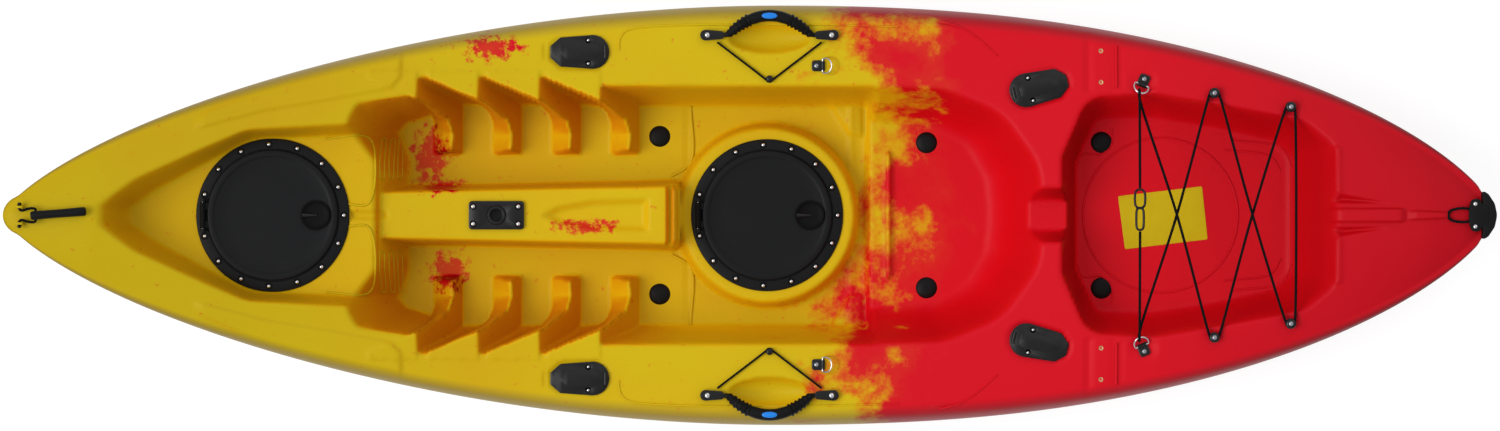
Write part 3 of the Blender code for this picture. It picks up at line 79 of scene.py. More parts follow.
ROOT = "kayak"
MM = 0.001
SEAT_GAP = 0.0003
HATCHES = {"front": (-0.8714, 0.240), "centre": (0.0305, 0.150)}
MOUNT_X = -0.4645
HANDLE_X, HANDLE_Y, HOOK_Y = 0.0345, 0.3275, 0.2480
RINGS = {"front": (0.1235, 0.2718), "rear": (0.7140, 0.2440)}
BUTTONS = {"middle": (0.8413, 0.2216), "aft": (0.9794, 0.1965)}
SCUPPERS = {"cockpit": (-0.168, 0.146, 0.095), "seat": (0.325, 0.134, 0.118), "tank": (0.645, 0.134, 0.165)}
TOGGLE_X, TOGGLE_Z = -1.318, 0.36076
CLIP_X, CLIP_WIRE = 0.7065, 0.0022
CORD_MAP = "lay"
Array = np.ndarray
Point = tuple[float, float, float]
Flat = list[tuple[float, float]]
Shape = bmesh.types.BMesh
Socket = bpy.types.NodeSocket


class Slot(Enum):
    """The record's material slots."""

    HULL = "hull_plastic"
    HATCH = "hatch_plastic"
    PLASTIC = "black_plastic"
    RUBBER = "black_rubber"
    CORD = "black_cord"
    STEEL = "stainless_steel"
    BRASS = "brass"


class Side(Enum):
    """The two sides of the hull and the sign of their Y."""

    PORT = 1
    STARBOARD = -1

    @property
    def word(self) -> str:
        """The side's name as the nodes spell it."""
        return self.name.lower()


# Finishes


class Nodes:
    """Writes one node material."""

    def __init__(self, name: str) -> None:
        """Start a Principled material of that name."""
        self.material = bpy.data.materials.new(name)
        self.material.use_nodes = True
        self.tree = self.material.node_tree
        self.place = self.tree.nodes.new("ShaderNodeTexCoord").outputs["Object"]

    def feed(self, socket: Socket, value: object) -> None:
        """Link a socket into this one, or set a number or colour on it."""
        if isinstance(value, Socket):
            self.tree.links.new(value, socket)
        else:
            socket.default_value = value

    def node(self, kind: str, inputs: dict | None = None, **settings: object) -> bpy.types.Node:
        """Add a node.

        Args:
            kind: its type's name after ShaderNode.
            inputs: a socket or a value for each input named.
            settings: its properties.
        Returns:
            The node.
        """
        made = self.tree.nodes.new(f"ShaderNode{kind}")
        for key, value in settings.items():
            setattr(made, key, value)
        for key, value in (inputs or {}).items():
            self.feed(made.inputs[key], value)
        return made

    def noise(self, scale: float, detail: float, rough: float = 0.55, shift: Point = (0, 0, 0),
              stretch: Point = (1, 1, 1)) -> Socket:
        """A noise texture's value over Object coordinates.

        Args:
            scale: cells per metre.
            detail: octaves.
            rough: weight of the small octaves.
            shift: the move of the coordinates.
            stretch: their scale along each axis.
        Returns:
            The value socket.
        """
        where = self.node("Mapping", {"Vector": self.place, "Scale": stretch, "Location": shift}).outputs["Vector"]
        given = {"Scale": scale, "Detail": detail, "Roughness": rough, "Vector": where}
        return self.node("TexNoise", given).outputs["Fac"]

    def math(self, operation: str, *terms: object, clamp: bool = False) -> Socket:
        """A math node's result on sockets or numbers."""
        made = self.node("Math", operation=operation, use_clamp=clamp)
        for socket, term in zip(made.inputs, terms):
            self.feed(socket, term)
        return made.outputs[0]

    def rise(self, value: Socket, start: float, width: float, top: float = 1.0) -> Socket:
        """A straight rise from 0 at start to top over a width, level before and after it."""
        return self.math("MULTIPLY", self.math("DIVIDE", self.math("SUBTRACT", value, start), width, clamp=True), top)

    def mix(self, share: Socket, first: object, second: object) -> Socket:
        """A mix of two colours, the first where the share is 0."""
        made = self.node("Mix", data_type="RGBA")
        for socket, value in zip((s for s in made.inputs if s.enabled), (share, first, second)):
            self.feed(socket, (*value, 1) if isinstance(value, tuple) else value)
        return next(s for s in made.outputs if s.enabled)

    def finish(self, colour: Socket, rough: object, height: Socket, strength: float, distance: float,
               gloss: float = 0.5, metallic: float = 0.0) -> bpy.types.Material:
        """Set the shader.

        Args:
            colour: the base colour.
            rough: the roughness.
            height: what roughens the surface.
            strength: how strongly, from 0 to 1.
            distance: metres at full height.
            gloss: the specular level.
            metallic: 1 for metal.
        Returns:
            The material.
        """
        bump = self.node("Bump", {"Strength": strength, "Distance": distance, "Height": height})
        given = {"Base Color": colour, "Roughness": rough, "Metallic": metallic, "Specular IOR Level": gloss,
                 "Normal": bump.outputs["Normal"]}
        return self.shade(given)

    def shade(self, given: dict) -> bpy.types.Material:
        """Feed the shader's inputs by their names and give the material."""
        for key, value in given.items():
            self.feed(self.tree.nodes["Principled BSDF"].inputs[key], value)
        return self.material


@dataclass(frozen=True)
class MarbledPlastic:
    """The hull's plastic: yellow at the bow, red at the stern, marbled where they met in the mould."""

    yellow: tuple = (0.62, 0.44, 0.006)
    amber: tuple = (0.64, 0.31, 0.005)
    orange: tuple = (0.64, 0.11, 0.010)
    red: tuple = (0.63, 0.005, 0.015)
    # Painted shade: wall and deep are darker tones painted on steep walls and on the most shaded walls and wells. Flank
    # is painted shade and reflection on the hull's sides. Each pair holds the yellow tone, then the red one.
    wall: tuple = ((0.74, 0.42, 0.003), (0.66, 0.003, 0.008))
    deep: tuple = ((0.66, 0.235, 0.002), (0.34, 0.002, 0.003))
    flank: tuple = ((0.36, 0.245, 0.040), (0.30, 0.022, 0.030))
    change_x: float = 0.278
    change_width: float = 0.25
    roughness: float = 0.42
    patches: tuple = (
        (-0.590, 0.108, 0.056, 0.094), (-0.562, -0.105, 0.060, 0.060), (-0.47, 0.305, 0.085, 0.035),
        (-0.300, -0.020, 0.085, 0.020), (-0.565, 0.052, 0.060, 0.018),
    )

    def build(self) -> bpy.types.Material:
        """Make the material."""
        n = Nodes("marbled_hull_plastic")
        split = n.node("SeparateXYZ", {"Vector": n.place})
        x, y = split.outputs["X"], split.outputs["Y"]
        speck = n.noise(62.0, 4.0, 0.7, (3.1, 1.7, 0.4))
        swirl = n.math("ADD", n.math("ADD", x, n.rise(y, 0.20, 0.06, 0.055)), n.rise(y, -0.03, -0.15, 0.070))
        for cloud, weight in ((n.noise(8.0, 5.0, 0.62), 0.66), (speck, 0.12)):
            swirl = n.math("MULTIPLY_ADD", n.math("SUBTRACT", cloud, 0.5), weight, swirl)
        share = n.rise(swirl, self.change_x - self.change_width / 2, self.change_width)
        stray = self.stray(n, x, y, speck)
        warm = n.math("MULTIPLY", n.math("SUBTRACT", n.noise(2.6, 3.0, shift=(0.3, 8.0, 0)), 0.42, clamp=True), 1.5)
        warm = n.math("MULTIPLY", n.math("MINIMUM", warm, 0.5), n.math("SUBTRACT", 1.0, share, clamp=True))
        colour = n.mix(warm, n.mix(stray, self.band(n, share), self.red), self.amber)
        # Painted shade: the wall attribute mixes in the wall and deep tones, and the flank attribute mixes in the
        # greyer flank tone of painted shade and reflection.
        wall, flank = (n.node("Attribute", attribute_name=name, attribute_type="GEOMETRY").outputs["Fac"]
                       for name in ("wall", "flank"))
        turned = n.math("MAXIMUM", n.rise(share, 0.2, 0.4), stray)
        for part, pair in ((n.rise(wall, 0, 0.5), self.wall), (n.rise(wall, 0.5, 0.5), self.deep), (flank, self.flank)):
            colour = n.mix(part, colour, n.mix(turned, *pair))
        shade = n.math("ADD", n.rise(x, -0.35, -0.6, 0.15), n.rise(x, 0.70, 0.55, 0.27))
        grain = n.noise(900.0, 2.0)
        rough = n.math("MULTIPLY_ADD", grain, 0.10, self.roughness - 0.05)
        return n.finish(n.mix(shade, colour, (0, 0, 0)), rough, grain, 0.12, 0.6 * MM, 0.08)

    def band(self, n: Nodes, share: Socket) -> Socket:
        """The colours from the bow to the stern by the share of red."""
        made = n.node("ValToRGB", {"Fac": share})
        stops = ((0.0, self.yellow), (0.18, self.yellow), (0.34, self.amber), (0.50, self.orange), (0.64, self.red),
                 (1.0, self.red))
        line = made.color_ramp.elements
        while len(line) < len(stops):
            line.new(0.5)
        for element, (place, colour) in zip(line, stops):
            element.position, element.color = place, (*colour, 1)
        return made.outputs["Color"]

    def stray(self, n: Nodes, x: Socket, y: Socket, speck: Socket) -> Socket:
        """The few red patches that strayed into the yellow half.

        Args:
            n: the material being written.
            x: the X socket.
            y: the Y socket.
            speck: fine noise that tears their edges.
        Returns:
            The share of red.
        """
        total = 0.0
        for px, py, rx, ry in self.patches:
            parts = [n.math("DIVIDE", n.math("SUBTRACT", at, p), r) for at, p, r in ((x, px, rx), (y, py, ry))]
            reach = n.math("SQRT", n.math("ADD", *(n.math("MULTIPLY", part, part) for part in parts)))
            total = n.math("MAXIMUM", total, n.math("SUBTRACT", 1.05, reach, clamp=True))
        torn = n.math("MULTIPLY_ADD", n.math("SUBTRACT", speck, 0.56), 2.6, total)
        return n.math("MULTIPLY", n.math("SUBTRACT", torn, 0.22), 3.0, clamp=True)


@dataclass(frozen=True)
class MouldedPlastic:
    """Dark moulded plastic or rubber with a fine grain."""

    name: str
    colour: tuple
    roughness: float
    grain: float = 1400.0
    depth: float = 0.25
    gloss: float = 0.2

    def build(self) -> bpy.types.Material:
        """Make the material."""
        n = Nodes(self.name)
        dust = n.noise(14.0, 4.0, 0.6)
        colour = n.mix(n.math("MULTIPLY", dust, 0.5), self.colour, tuple(c * 1.5 + 0.002 for c in self.colour))
        rough = n.math("MULTIPLY_ADD", dust, 0.14, self.roughness - 0.07)
        return n.finish(colour, rough, n.noise(self.grain, 2.0), self.depth, 0.4 * MM, self.gloss)


@dataclass(frozen=True)
class BraidedCord:
    """Black braided cord, its plait read along the piece's own UV map."""

    name: str
    colour: tuple = (0.0030, 0.0030, 0.0034)
    turns: float = 260.0
    strands: int = 4

    def build(self) -> bpy.types.Material:
        """Make the material."""
        n = Nodes(self.name)
        split = n.node("SeparateXYZ", {"Vector": n.node("UVMap", uv_map=CORD_MAP).outputs["UV"]})
        along = n.math("MULTIPLY", split.outputs["X"], self.turns * 2 * math.pi)
        around = n.math("MULTIPLY", split.outputs["Y"], self.strands * 2 * math.pi)
        left, right = (n.math("SINE", n.math(way, along, around)) for way in ("ADD", "SUBTRACT"))
        plait = n.math("MULTIPLY_ADD", n.math("MULTIPLY", left, right), 0.5, 0.5)
        colour = n.mix(plait, self.colour, tuple(c * 2.2 for c in self.colour))
        return n.finish(colour, 0.85, plait, 0.5, 0.5 * MM, 0.06)


@dataclass(frozen=True)
class Metal:
    """Polished or turned metal with fine scratches."""

    name: str
    colour: tuple
    roughness: float

    def build(self) -> bpy.types.Material:
        """Make the material."""
        n = Nodes(self.name)
        scratch = n.noise(420.0, 3.0, stretch=(1, 1, 9))
        colour = n.mix(n.math("MULTIPLY", scratch, 0.3), self.colour, tuple(c * 0.7 for c in self.colour))
        rough = n.math("MULTIPLY_ADD", scratch, 0.16, self.roughness - 0.08)
        return n.finish(colour, rough, scratch, 0.08, 0.3 * MM, metallic=1.0)


class Finishes:
    """Every finish, made once."""

    def __init__(self) -> None:
        """Make the materials."""
        self.hull = MarbledPlastic().build()
        self.hatch = MouldedPlastic("hatch_plastic", (0.0062, 0.0066, 0.0074), 0.44, 1100.0, 0.35, 0.11).build()
        self.plastic = MouldedPlastic(
            "black_moulded_plastic", (0.0040, 0.0040, 0.0046), 0.30, 1400.0, 0.15, 0.32).build()
        self.rubber = MouldedPlastic("black_rubber", (0.0035, 0.0035, 0.0040), 0.50, 900.0, 0.2, 0.13).build()
        # This finish also makes the thin discs of painted shade under the screws.
        self.deep = MouldedPlastic("deep_black_rubber", (0.0015, 0.0015, 0.0017), 0.6, 900.0, 0.2, 0.1).build()
        self.blue = MouldedPlastic("blue_inlay", (0.012, 0.19, 0.66), 0.30).build()
        self.tag = MouldedPlastic("plain_yellow_tag", (0.50, 0.37, 0.005), 0.5, 600.0, 0.1, 0.08).build()
        self.cord = BraidedCord("black_shock_cord").build()
        self.steel = Metal("stainless_steel", (0.72, 0.72, 0.74), 0.20).build()
        self.dull_steel = Metal("dull_screw_steel", (0.36, 0.37, 0.40), 0.42).build()
        self.brass = Metal("turned_brass", (0.70, 0.42, 0.22), 0.32).build()

    def of(self, slot: Slot) -> bpy.types.Material:
        """The finish of a slot."""
        return {
            Slot.HULL: self.hull, Slot.HATCH: self.hatch, Slot.PLASTIC: self.plastic, Slot.RUBBER: self.rubber,
            Slot.CORD: self.cord, Slot.STEEL: self.steel, Slot.BRASS: self.brass,
        }[slot]


# The hull


def ramp_over(value: Array, soft: Array | float) -> Array:
    """A value where it is above 0 and else 0, with a soft knee.

    Args:
        value: the values.
        soft: half the knee's width.
    Returns:
        The softened values.
    """
    soft = np.maximum(soft, 1e-6)
    knee = (value + soft) ** 2 / (4 * soft)
    return np.where(value <= -soft, 0.0, np.where(value >= soft, value, knee))


def soft_max(first: Array, second: Array, blend: float) -> Array:
    """The larger of two heights, with a fillet where they meet."""
    return first + ramp_over(second - first, blend)


def soft_min(first: Array, second: Array, blend: float) -> Array:
    """The smaller of two heights, with a fillet where they meet."""
    return first - ramp_over(first - second, blend)


def smooth_step(low: float, high: float, value: Array) -> Array:
    """A smooth ramp from 0 at low to 1 at high."""
    t = np.clip((value - low) / (high - low), 0, 1)
    return t * t * (3 - 2 * t)


def rounded(corners: list[Point], steps: int = 10) -> Array:
    """A closed outline whose corners are arcs.

    Args:
        corners: X, Y and radius of each.
        steps: steps in each arc.
    Returns:
        The outline's points.
    """
    outline, count = [], len(corners)
    for i in range(count):
        before, here, after = (Vector(corners[(i + k) % count][:2]) for k in (-1, 0, 1))
        back, ahead = (before - here).normalized(), (after - here).normalized()
        half = math.acos(max(-1.0, min(1.0, back.dot(ahead)))) / 2
        reach = corners[i][2] / max(math.tan(half), 1e-6)
        reach = min(reach, 0.49 * (before - here).length, 0.49 * (after - here).length)
        if reach < 0.1 * MM:
            outline.append(tuple(here))
            continue
        centre = here + (back + ahead).normalized() * math.hypot(reach, reach * math.tan(half))
        start, last = here + back * reach - centre, here + ahead * reach - centre
        turn = math.atan2(start.x * last.y - start.y * last.x, start.dot(last))
        for k in range(steps + 1):
            c, s = math.cos(turn * k / steps), math.sin(turn * k / steps)
            outline.append((centre.x + start.x * c - start.y * s, centre.y + start.x * s + start.y * c))
    return np.array(outline)


def mirrored(half: list[Point]) -> list[Point]:
    """Close a half outline given on the +Y side."""
    return [*half, *((x, -y, r) for x, y, r in reversed(half))]


def outside(x: Array, y: Array, outline: Array) -> Array:
    """Distance of points outside a closed outline, negative inside.

    Args:
        x: the points' X.
        y: the points' Y.
        outline: the outline's points.
    Returns:
        The signed distances.
    """
    best, inside = np.full(x.shape, 1e9), np.zeros(x.shape, bool)
    for (ax, ay), (bx, by) in zip(outline, np.roll(outline, -1, axis=0)):
        ex, ey = bx - ax, by - ay
        size = ex * ex + ey * ey
        if size < 1e-14:
            continue
        t = np.clip(((x - ax) * ex + (y - ay) * ey) / size, 0, 1)
        best = np.minimum(best, (x - ax - t * ex) ** 2 + (y - ay - t * ey) ** 2)
        if abs(ey) > 1e-12:
            inside ^= ((ay > y) != (by > y)) & (x < ex * (y - ay) / ey + ax)
    return np.where(inside, -1.0, 1.0) * np.sqrt(best)


@dataclass
class HullForm:
    """The moulded hull's driving sizes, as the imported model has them. Pairs are bow and stern."""

    length: float = 2.700
    half_beam: float = 0.386
    widest_x: float = 0.044
    stern_tip: float = 1.337
    powers: tuple[float, float] = (1.90, 2.35)
    fullness: tuple[float, float] = (0.72, 0.695)
    gunwale: float = 0.270
    rises: tuple[float, float] = (0.078, 0.048)
    level_half: float = 0.10
    crown: float = 0.026
    flat_keel: float = 0.80
    rockers: tuple[float, float] = (0.215, 0.165)
    deck_edge: float = 0.925

    def end_share(self, x: Array) -> Array:
        """How far each X is towards its tip, from 0 to 1."""
        tip = np.where(x < self.widest_x, -self.length / 2, self.stern_tip)
        return np.clip(np.abs((x - self.widest_x) / (tip - self.widest_x)), 0, 1)

    def half_breadth(self, x: Array) -> Array:
        """Half the hull's breadth at each X."""
        power, full = (np.where(x < self.widest_x, *pair) for pair in (self.powers, self.fullness))
        return self.half_beam * np.maximum(1 - self.end_share(x) ** power, 0) ** full

    def beyond(self, x: Array, level: float) -> Array:
        """How far each X is from the end of the level middle to the tip, from 0 to 1."""
        return np.maximum(0, np.abs(x) - level) / (self.length / 2 - level)

    def edge_height(self, x: Array) -> Array:
        """Height of the deck's edge at each X."""
        return self.gunwale + np.where(x < 0, *self.rises) * self.beyond(x, self.level_half) ** 2

    def keel_height(self, x: Array) -> Array:
        """Height of the keel at each X."""
        return np.where(x < 0, *self.rockers) * self.beyond(x, self.flat_keel) ** 2.4

    def deck_height(self, x: Array, y: Array) -> Array:
        """Height of the uncut deck."""
        away = np.clip((np.abs(x) - self.level_half) / 0.6, 0, 1)
        breadth = np.maximum(self.half_breadth(x), 0.011)
        crown = self.crown * away * np.minimum(1, breadth / 0.12)
        share = np.minimum(1, np.abs(y) / (self.deck_edge * breadth))
        return self.edge_height(x) + crown * (1 - share**2)


@dataclass
class Relief:
    """Something moulded into the deck in and round its outline. Y is never negative here."""

    outline: Array
    margin = 0.04

    def mould(self, x: Array, y: Array, z: Array) -> None:
        """Work it into a surface.

        Args:
            x: the points' X.
            y: the points' Y.
            z: their heights, which it changes.
        """
        low, high = np.min(self.outline, axis=0) - self.margin, np.max(self.outline, axis=0) + self.margin
        near = (x > low[0]) & (x < high[0]) & (y > low[1]) & (y < high[1])
        z[near] = self.height(x[near], y[near], z[near])

    def height(self, x: Array, y: Array, z: Array) -> Array:
        """The heights with it in them, which each kind works out in its own way."""
        raise NotImplementedError


@dataclass
class Well(Relief):
    """A well between the outline at its lip and one at its floor."""

    floor: Array
    floor_z: float
    lip_round: float
    floor_round: float

    def height(self, x: Array, y: Array, z: Array) -> Array:
        """The heights with the well sunk into them."""
        from_floor = outside(x, y, self.floor)
        width = np.maximum(from_floor - outside(x, y, self.outline), 4 * MM)
        share = from_floor / width
        up = ramp_over(share, np.minimum(self.floor_round / width, 0.9))
        up -= ramp_over(share - 1, np.minimum(self.lip_round / width, 0.9))
        return self.floor_z + (z - self.floor_z) * np.clip(up, 0, 1)


@dataclass
class Block(Relief):
    """A block with sloped sides that stands on the cockpit's floor."""

    top: float
    foot: float
    knee: float
    draft: float = 0.010

    def away(self, x: Array, y: Array) -> Array:
        """Distance outside its top."""
        return outside(x, y, self.outline)

    def height(self, x: Array, y: Array, z: Array) -> Array:
        """The heights with the block on them."""
        fall = ramp_over(self.away(x, y), self.knee) * (self.top - self.foot) / self.draft
        return soft_max(z, self.top - fall, 4 * MM)


@dataclass
class Drum(Block):
    """A round block, whose outline holds two corners of the square round it."""

    def away(self, x: Array, y: Array) -> Array:
        """Distance outside its top."""
        low, high = self.outline[0][0], self.outline[1][0]
        return np.hypot(x - (low + high) / 2, y) - (high - low) / 2


@dataclass
class Fin(Relief):
    """A foot-brace fin. It rises gently from its bow foot to a crest that runs aslant from the side deck to the
    floor, and falls steeply behind it. Its outline holds two corners of the box that it keeps to."""

    start: float
    floor: float
    form: HullForm
    slope: float = 2.6
    fall_foot: float = 0.0705
    bend_y: float = 0.2065
    margin = 0.0

    def height(self, x: Array, y: Array, z: Array) -> Array:
        """The heights with the fin on them."""
        rel = x - self.start
        crest = np.interp(y, *zip((0.1193, 0.0506), (0.148, 0.0533), (0.1753, 0.0452), (0.186, 0.031),
                                  (0.199, 0.0154), (0.2114, 0)))
        foot = np.interp(y, *zip((0.12, 0.0146), (0.149, 0.014), (0.169, 0.0163), (0.190, 0.0114),
                                 (self.bend_y, -0.0054), (0.2476, -0.107)))
        past = y - self.bend_y
        width = np.where(past < 0, np.maximum(crest - foot, 8 * MM), 8 * MM + 0.08 * np.maximum(0, past))
        behind = self.floor + self.slope * (self.fall_foot - rel)
        before = self.floor + self.slope * (self.fall_foot - crest) * (rel - foot) / width
        end, deck = self.floor + 6 * (y - 0.113), self.form.deck_height(x, y)
        body = soft_min(soft_min(behind, before, 3 * MM), soft_min(end, deck, 3 * MM), 3 * MM)
        return soft_max(z, body, 4 * MM)


@dataclass
class Panel(Relief):
    """An area of the deck moulded higher or lower than the rest, with sloped edges."""

    rise: float
    wall: float

    def height(self, x: Array, y: Array, z: Array) -> Array:
        """The heights with the panel moved."""
        return z + self.rise * smooth_step(0, self.wall, -outside(x, y, self.outline))


@dataclass
class Groove(Relief):
    """A straight line pressed into the deck, or with a negative depth a ridge raised on it."""

    half: float
    depth: float

    def height(self, x: Array, y: Array, z: Array) -> Array:
        """The heights with the line pressed in."""
        (ax, ay), (bx, by) = self.outline
        ex, ey = bx - ax, by - ay
        t = np.clip(((x - ax) * ex + (y - ay) * ey) / (ex * ex + ey * ey), 0, 1)
        away = np.hypot(x - ax - t * ex, y - ay - t * ey)
        return z - self.depth * (1 - smooth_step(0, self.half, away))


@dataclass
class Scoop(Relief):
    """A finger scoop, an ellipse that fills the box between its outline's two corners."""

    depth: float
    knee: float = 0.004

    def height(self, x: Array, y: Array, z: Array) -> Array:
        """The heights with the scoop pressed in."""
        (cx, cy), (rx, ry) = np.mean(self.outline, axis=0), np.ptp(self.outline, axis=0) / 2
        full = self.depth * np.sqrt(np.clip(1 - ((x - cx) / rx) ** 2 - ((y - cy) / ry) ** 2, 0, 1))
        return z - ramp_over(full - self.knee, self.knee)


@dataclass
class Seat(Relief):
    """A flat moulded for a fitting."""

    level: float
    blend: float = 0.006

    def height(self, x: Array, y: Array, z: Array) -> Array:
        """The heights with the flat levelled."""
        share = smooth_step(0.0, self.blend, outside(x, y, self.outline))
        return z * share + self.level * (1 - share)


@dataclass
class DeckShape:
    """Everything moulded into the deck. All of it is alike on both sides."""

    form: HullForm
    cockpit_floor: float = 0.095
    platform: tuple[float, float, float] = (0.0305, 0.161, 0.150)
    console_top: float = 0.218
    fin_pitch: float = 0.109
    first_fin: float = -0.602
    toe: float = -0.634

    def wells(self) -> list[Well]:
        """The front hatch's recess, the cockpit, the seat, the tank well and the notch before it."""
        slot, last = (self.first_fin + count * self.fin_pitch for count in (4, 3))
        recess = (
            [(-1.172, 0.018, 0.012), (-1.112, 0.064, 0.05), (-0.985, 0.122, 0.06), (-0.9114, 0.152, 0.06),
             (-0.8314, 0.158, 0.05), (-0.700, 0.166, 0.010), (-0.600, 0.166, 0.01), (-0.600, 0.02, 0.0)],
            [(-1.132, 0.016, 0.010), (-1.087, 0.048, 0.04), (-0.975, 0.108, 0.06), (-0.9114, 0.144, 0.06),
             (-0.8314, 0.144, 0.05), (-0.700, 0.150, 0.010), (-0.600, 0.150, 0.01), (-0.600, 0.02, 0.0)],
            0.240, 0.008, 0.006,
        )
        cockpit = (
            [(-0.684, 0.02, 0), (-0.684, 0.10, 0.03), (-0.736, 0.165, 0.03), (-0.714, 0.204, 0.02),
             (-0.622, 0.214, 0.012), (-0.602, 0.250, 0.010), (last - 0.010, 0.250, 0.008), (last, 0.2317, 0.008),
             (0.242, 0.2317, 0.02), (0.242, 0.02, 0)],
            [(self.toe, 0.02, 0), (self.toe, 0.10, 0.03), (self.toe - 0.018, 0.155, 0.02),
             (self.toe - 0.008, 0.178, 0.02), (-0.590, 0.1937, 0.02), (-0.570, 0.2117, 0.02),
             (slot - 0.014, 0.2117, 0.02), (slot, 0.2117, 0.02), (0.222, 0.2117, 0.02), (0.222, 0.02, 0)],
            self.cockpit_floor, 0.008, 0.014,
        )
        seat = (
            [(0.192, 0.02, 0), (0.192, 0.2317, 0.004), (0.350, 0.2277, 0.10), (0.455, 0.185, 0.12),
             (0.520, 0.095, 0.10), (0.530, 0.02, 0)],
            [(0.192, 0.02, 0), (0.192, 0.190, 0.004), (0.345, 0.186, 0.09), (0.415, 0.150, 0.08),
             (0.456, 0.075, 0.06), (0.462, 0.02, 0)],
            0.118, 0.011, 0.030,
        )
        tank = (
            [(0.570, 0.04, 0), (0.570, 0.105, 0.04), (0.615, 0.2125, 0.045), (0.735, 0.218, 0.05),
             (0.860, 0.196, 0.05), (1.005, 0.170, 0.05), (1.060, 0.125, 0.04), (1.060, 0.04, 0)],
            [(0.588, 0.04, 0), (0.588, 0.100, 0.03), (0.630, 0.187, 0.035), (0.735, 0.190, 0.05),
             (0.855, 0.172, 0.05), (0.960, 0.148, 0.04), (0.998, 0.110, 0.03), (0.998, 0.04, 0)],
            0.165, 0.010, 0.016,
        )
        notch = (
            [(0.500, 0.05, 0.012), (0.582, 0.05, 0.01)], [(0.490, 0.030, 0.008), (0.600, 0.030, 0.01)],
            0.232, 0.006, 0.008,
        )
        return [Well(rounded(mirrored(lip)), rounded(mirrored(floor)), *sizes)
                for lip, floor, *sizes in (recess, cockpit, seat, tank, notch)]

    def bare(self, x: Array, y: Array) -> Array:
        """The deck with its wells alone.

        Args:
            x: the points' X.
            y: the points' Y.
        Returns:
            The heights.
        """
        deck = self.form.deck_height(x, y)
        recess, cockpit, *others = self.wells()
        z = deck.copy()
        recess.mould(x, y, z)
        cockpit.mould(x, y, z)
        for well in others:
            sunk = deck.copy()
            well.mould(x, y, sunk)
            z = soft_min(z, sunk, 4 * MM)
        return z

    def blocks(self) -> list[Relief]:
        """The hatch platform, the console and the foot-brace fins."""
        centre, radius, top = self.platform
        square = np.array([(centre - radius, -radius), (centre + radius, radius)])
        console = rounded(mirrored([(-0.690, 0.043, 0.004), (-0.136, 0.055, 0.010)]))
        starts = [self.first_fin + self.fin_pitch * count for count in range(4)]
        fins = [Fin(np.array([(start - 0.125, 0.105), (start + 0.085, 0.262)]), start, self.cockpit_floor, self.form)
                for start in starts]
        return [Drum(square, top, self.cockpit_floor, 4 * MM),
                Block(console, self.console_top, self.cockpit_floor, 3.5 * MM), *fins]

    def panels(self) -> list[Panel]:
        """The raised and sunken panels: the console's teardrop, the tail's ridge, knob and slot, the hollow beside
        the ridge, the shoulder of the bow deck and the corner before the seat."""
        rows = (
            (mirrored([(-0.384, 0.003, 0.003), (-0.352, 0.020, 0.050), (-0.290, 0.031, 0.060),
                       (-0.183, 0.034, 0.006)]), -0.013, 0.016),
            (mirrored([(1.045, 0.0145, 0.006), (1.182, 0.0145, 0.006)]), 0.010, 0.005),
            (mirrored([(1.190, 0.0105, 0.004), (1.266, 0.0070, 0.004)]), 0.008, 0.004),
            (mirrored([(1.281, 0.008, 0.003), (1.291, 0.008, 0.003)]), -0.004, 0.003),
            ([(1.048, 0.019, 0.003), (1.066, 0.041, 0.003), (1.178, 0.0195, 0.003)], -0.014, 0.010),
            ([(-0.630, 0.297, 0.012), (-0.630, 0.250, 0.012), (-0.650, 0.226, 0.02), (-0.760, 0.205, 0.04),
              (-0.880, 0.185, 0.05), (-1.010, 0.150, 0.03), (-1.000, 0.185, 0.03), (-0.880, 0.238, 0.05),
              (-0.740, 0.280, 0.05)], 0.0055, 0.010),
            ([(0.130, 0.222, 0.012), (0.212, 0.218, 0.012), (0.214, 0.136, 0.012), (0.178, 0.146, 0.02)],
             0.012, 0.012),
        )
        return [Panel(rounded(corners), rise, wall) for corners, rise, wall in rows]

    def lines(self) -> list[Relief]:
        """The wider moulded channels and ridges, and the finger scoops under the carry handles."""
        rows = (
            (-0.727, 0.0, -0.672, 0.0, 0.012, 0.008), (-0.116, 0.05, -0.116, 0.200, 0.007, 0.003),
            (0.2545, -0.112, 0.2545, 0.112, 0.0085, -0.0065), (0.186, 0.200, 0.186, 0.090, 0.008, -0.005),
            (0.6145, 0.226, 0.6145, 0.322, 0.0070, 0.0045), (0.6585, 0.226, 0.6585, 0.314, 0.0060, 0.0025),
            (0.6720, 0.232, 0.6720, 0.308, 0.0060, 0.0020), (1.064, 0.045, 1.064, 0.120, 0.009, -0.006),
            (-0.1480, 0.051, -0.1480, -0.051, 0.0075, 0.020), (-0.3745, 0.2865, -0.3745, 0.3085, 0.0045, 0.005),
        )
        grooves = [Groove(np.array([(ax, ay), (bx, by)]), half, depth) for ax, ay, bx, by, half, depth in rows]
        return [*grooves, Scoop(np.array([(-0.041, 0.295), (0.111, 0.349)]), 0.030)]

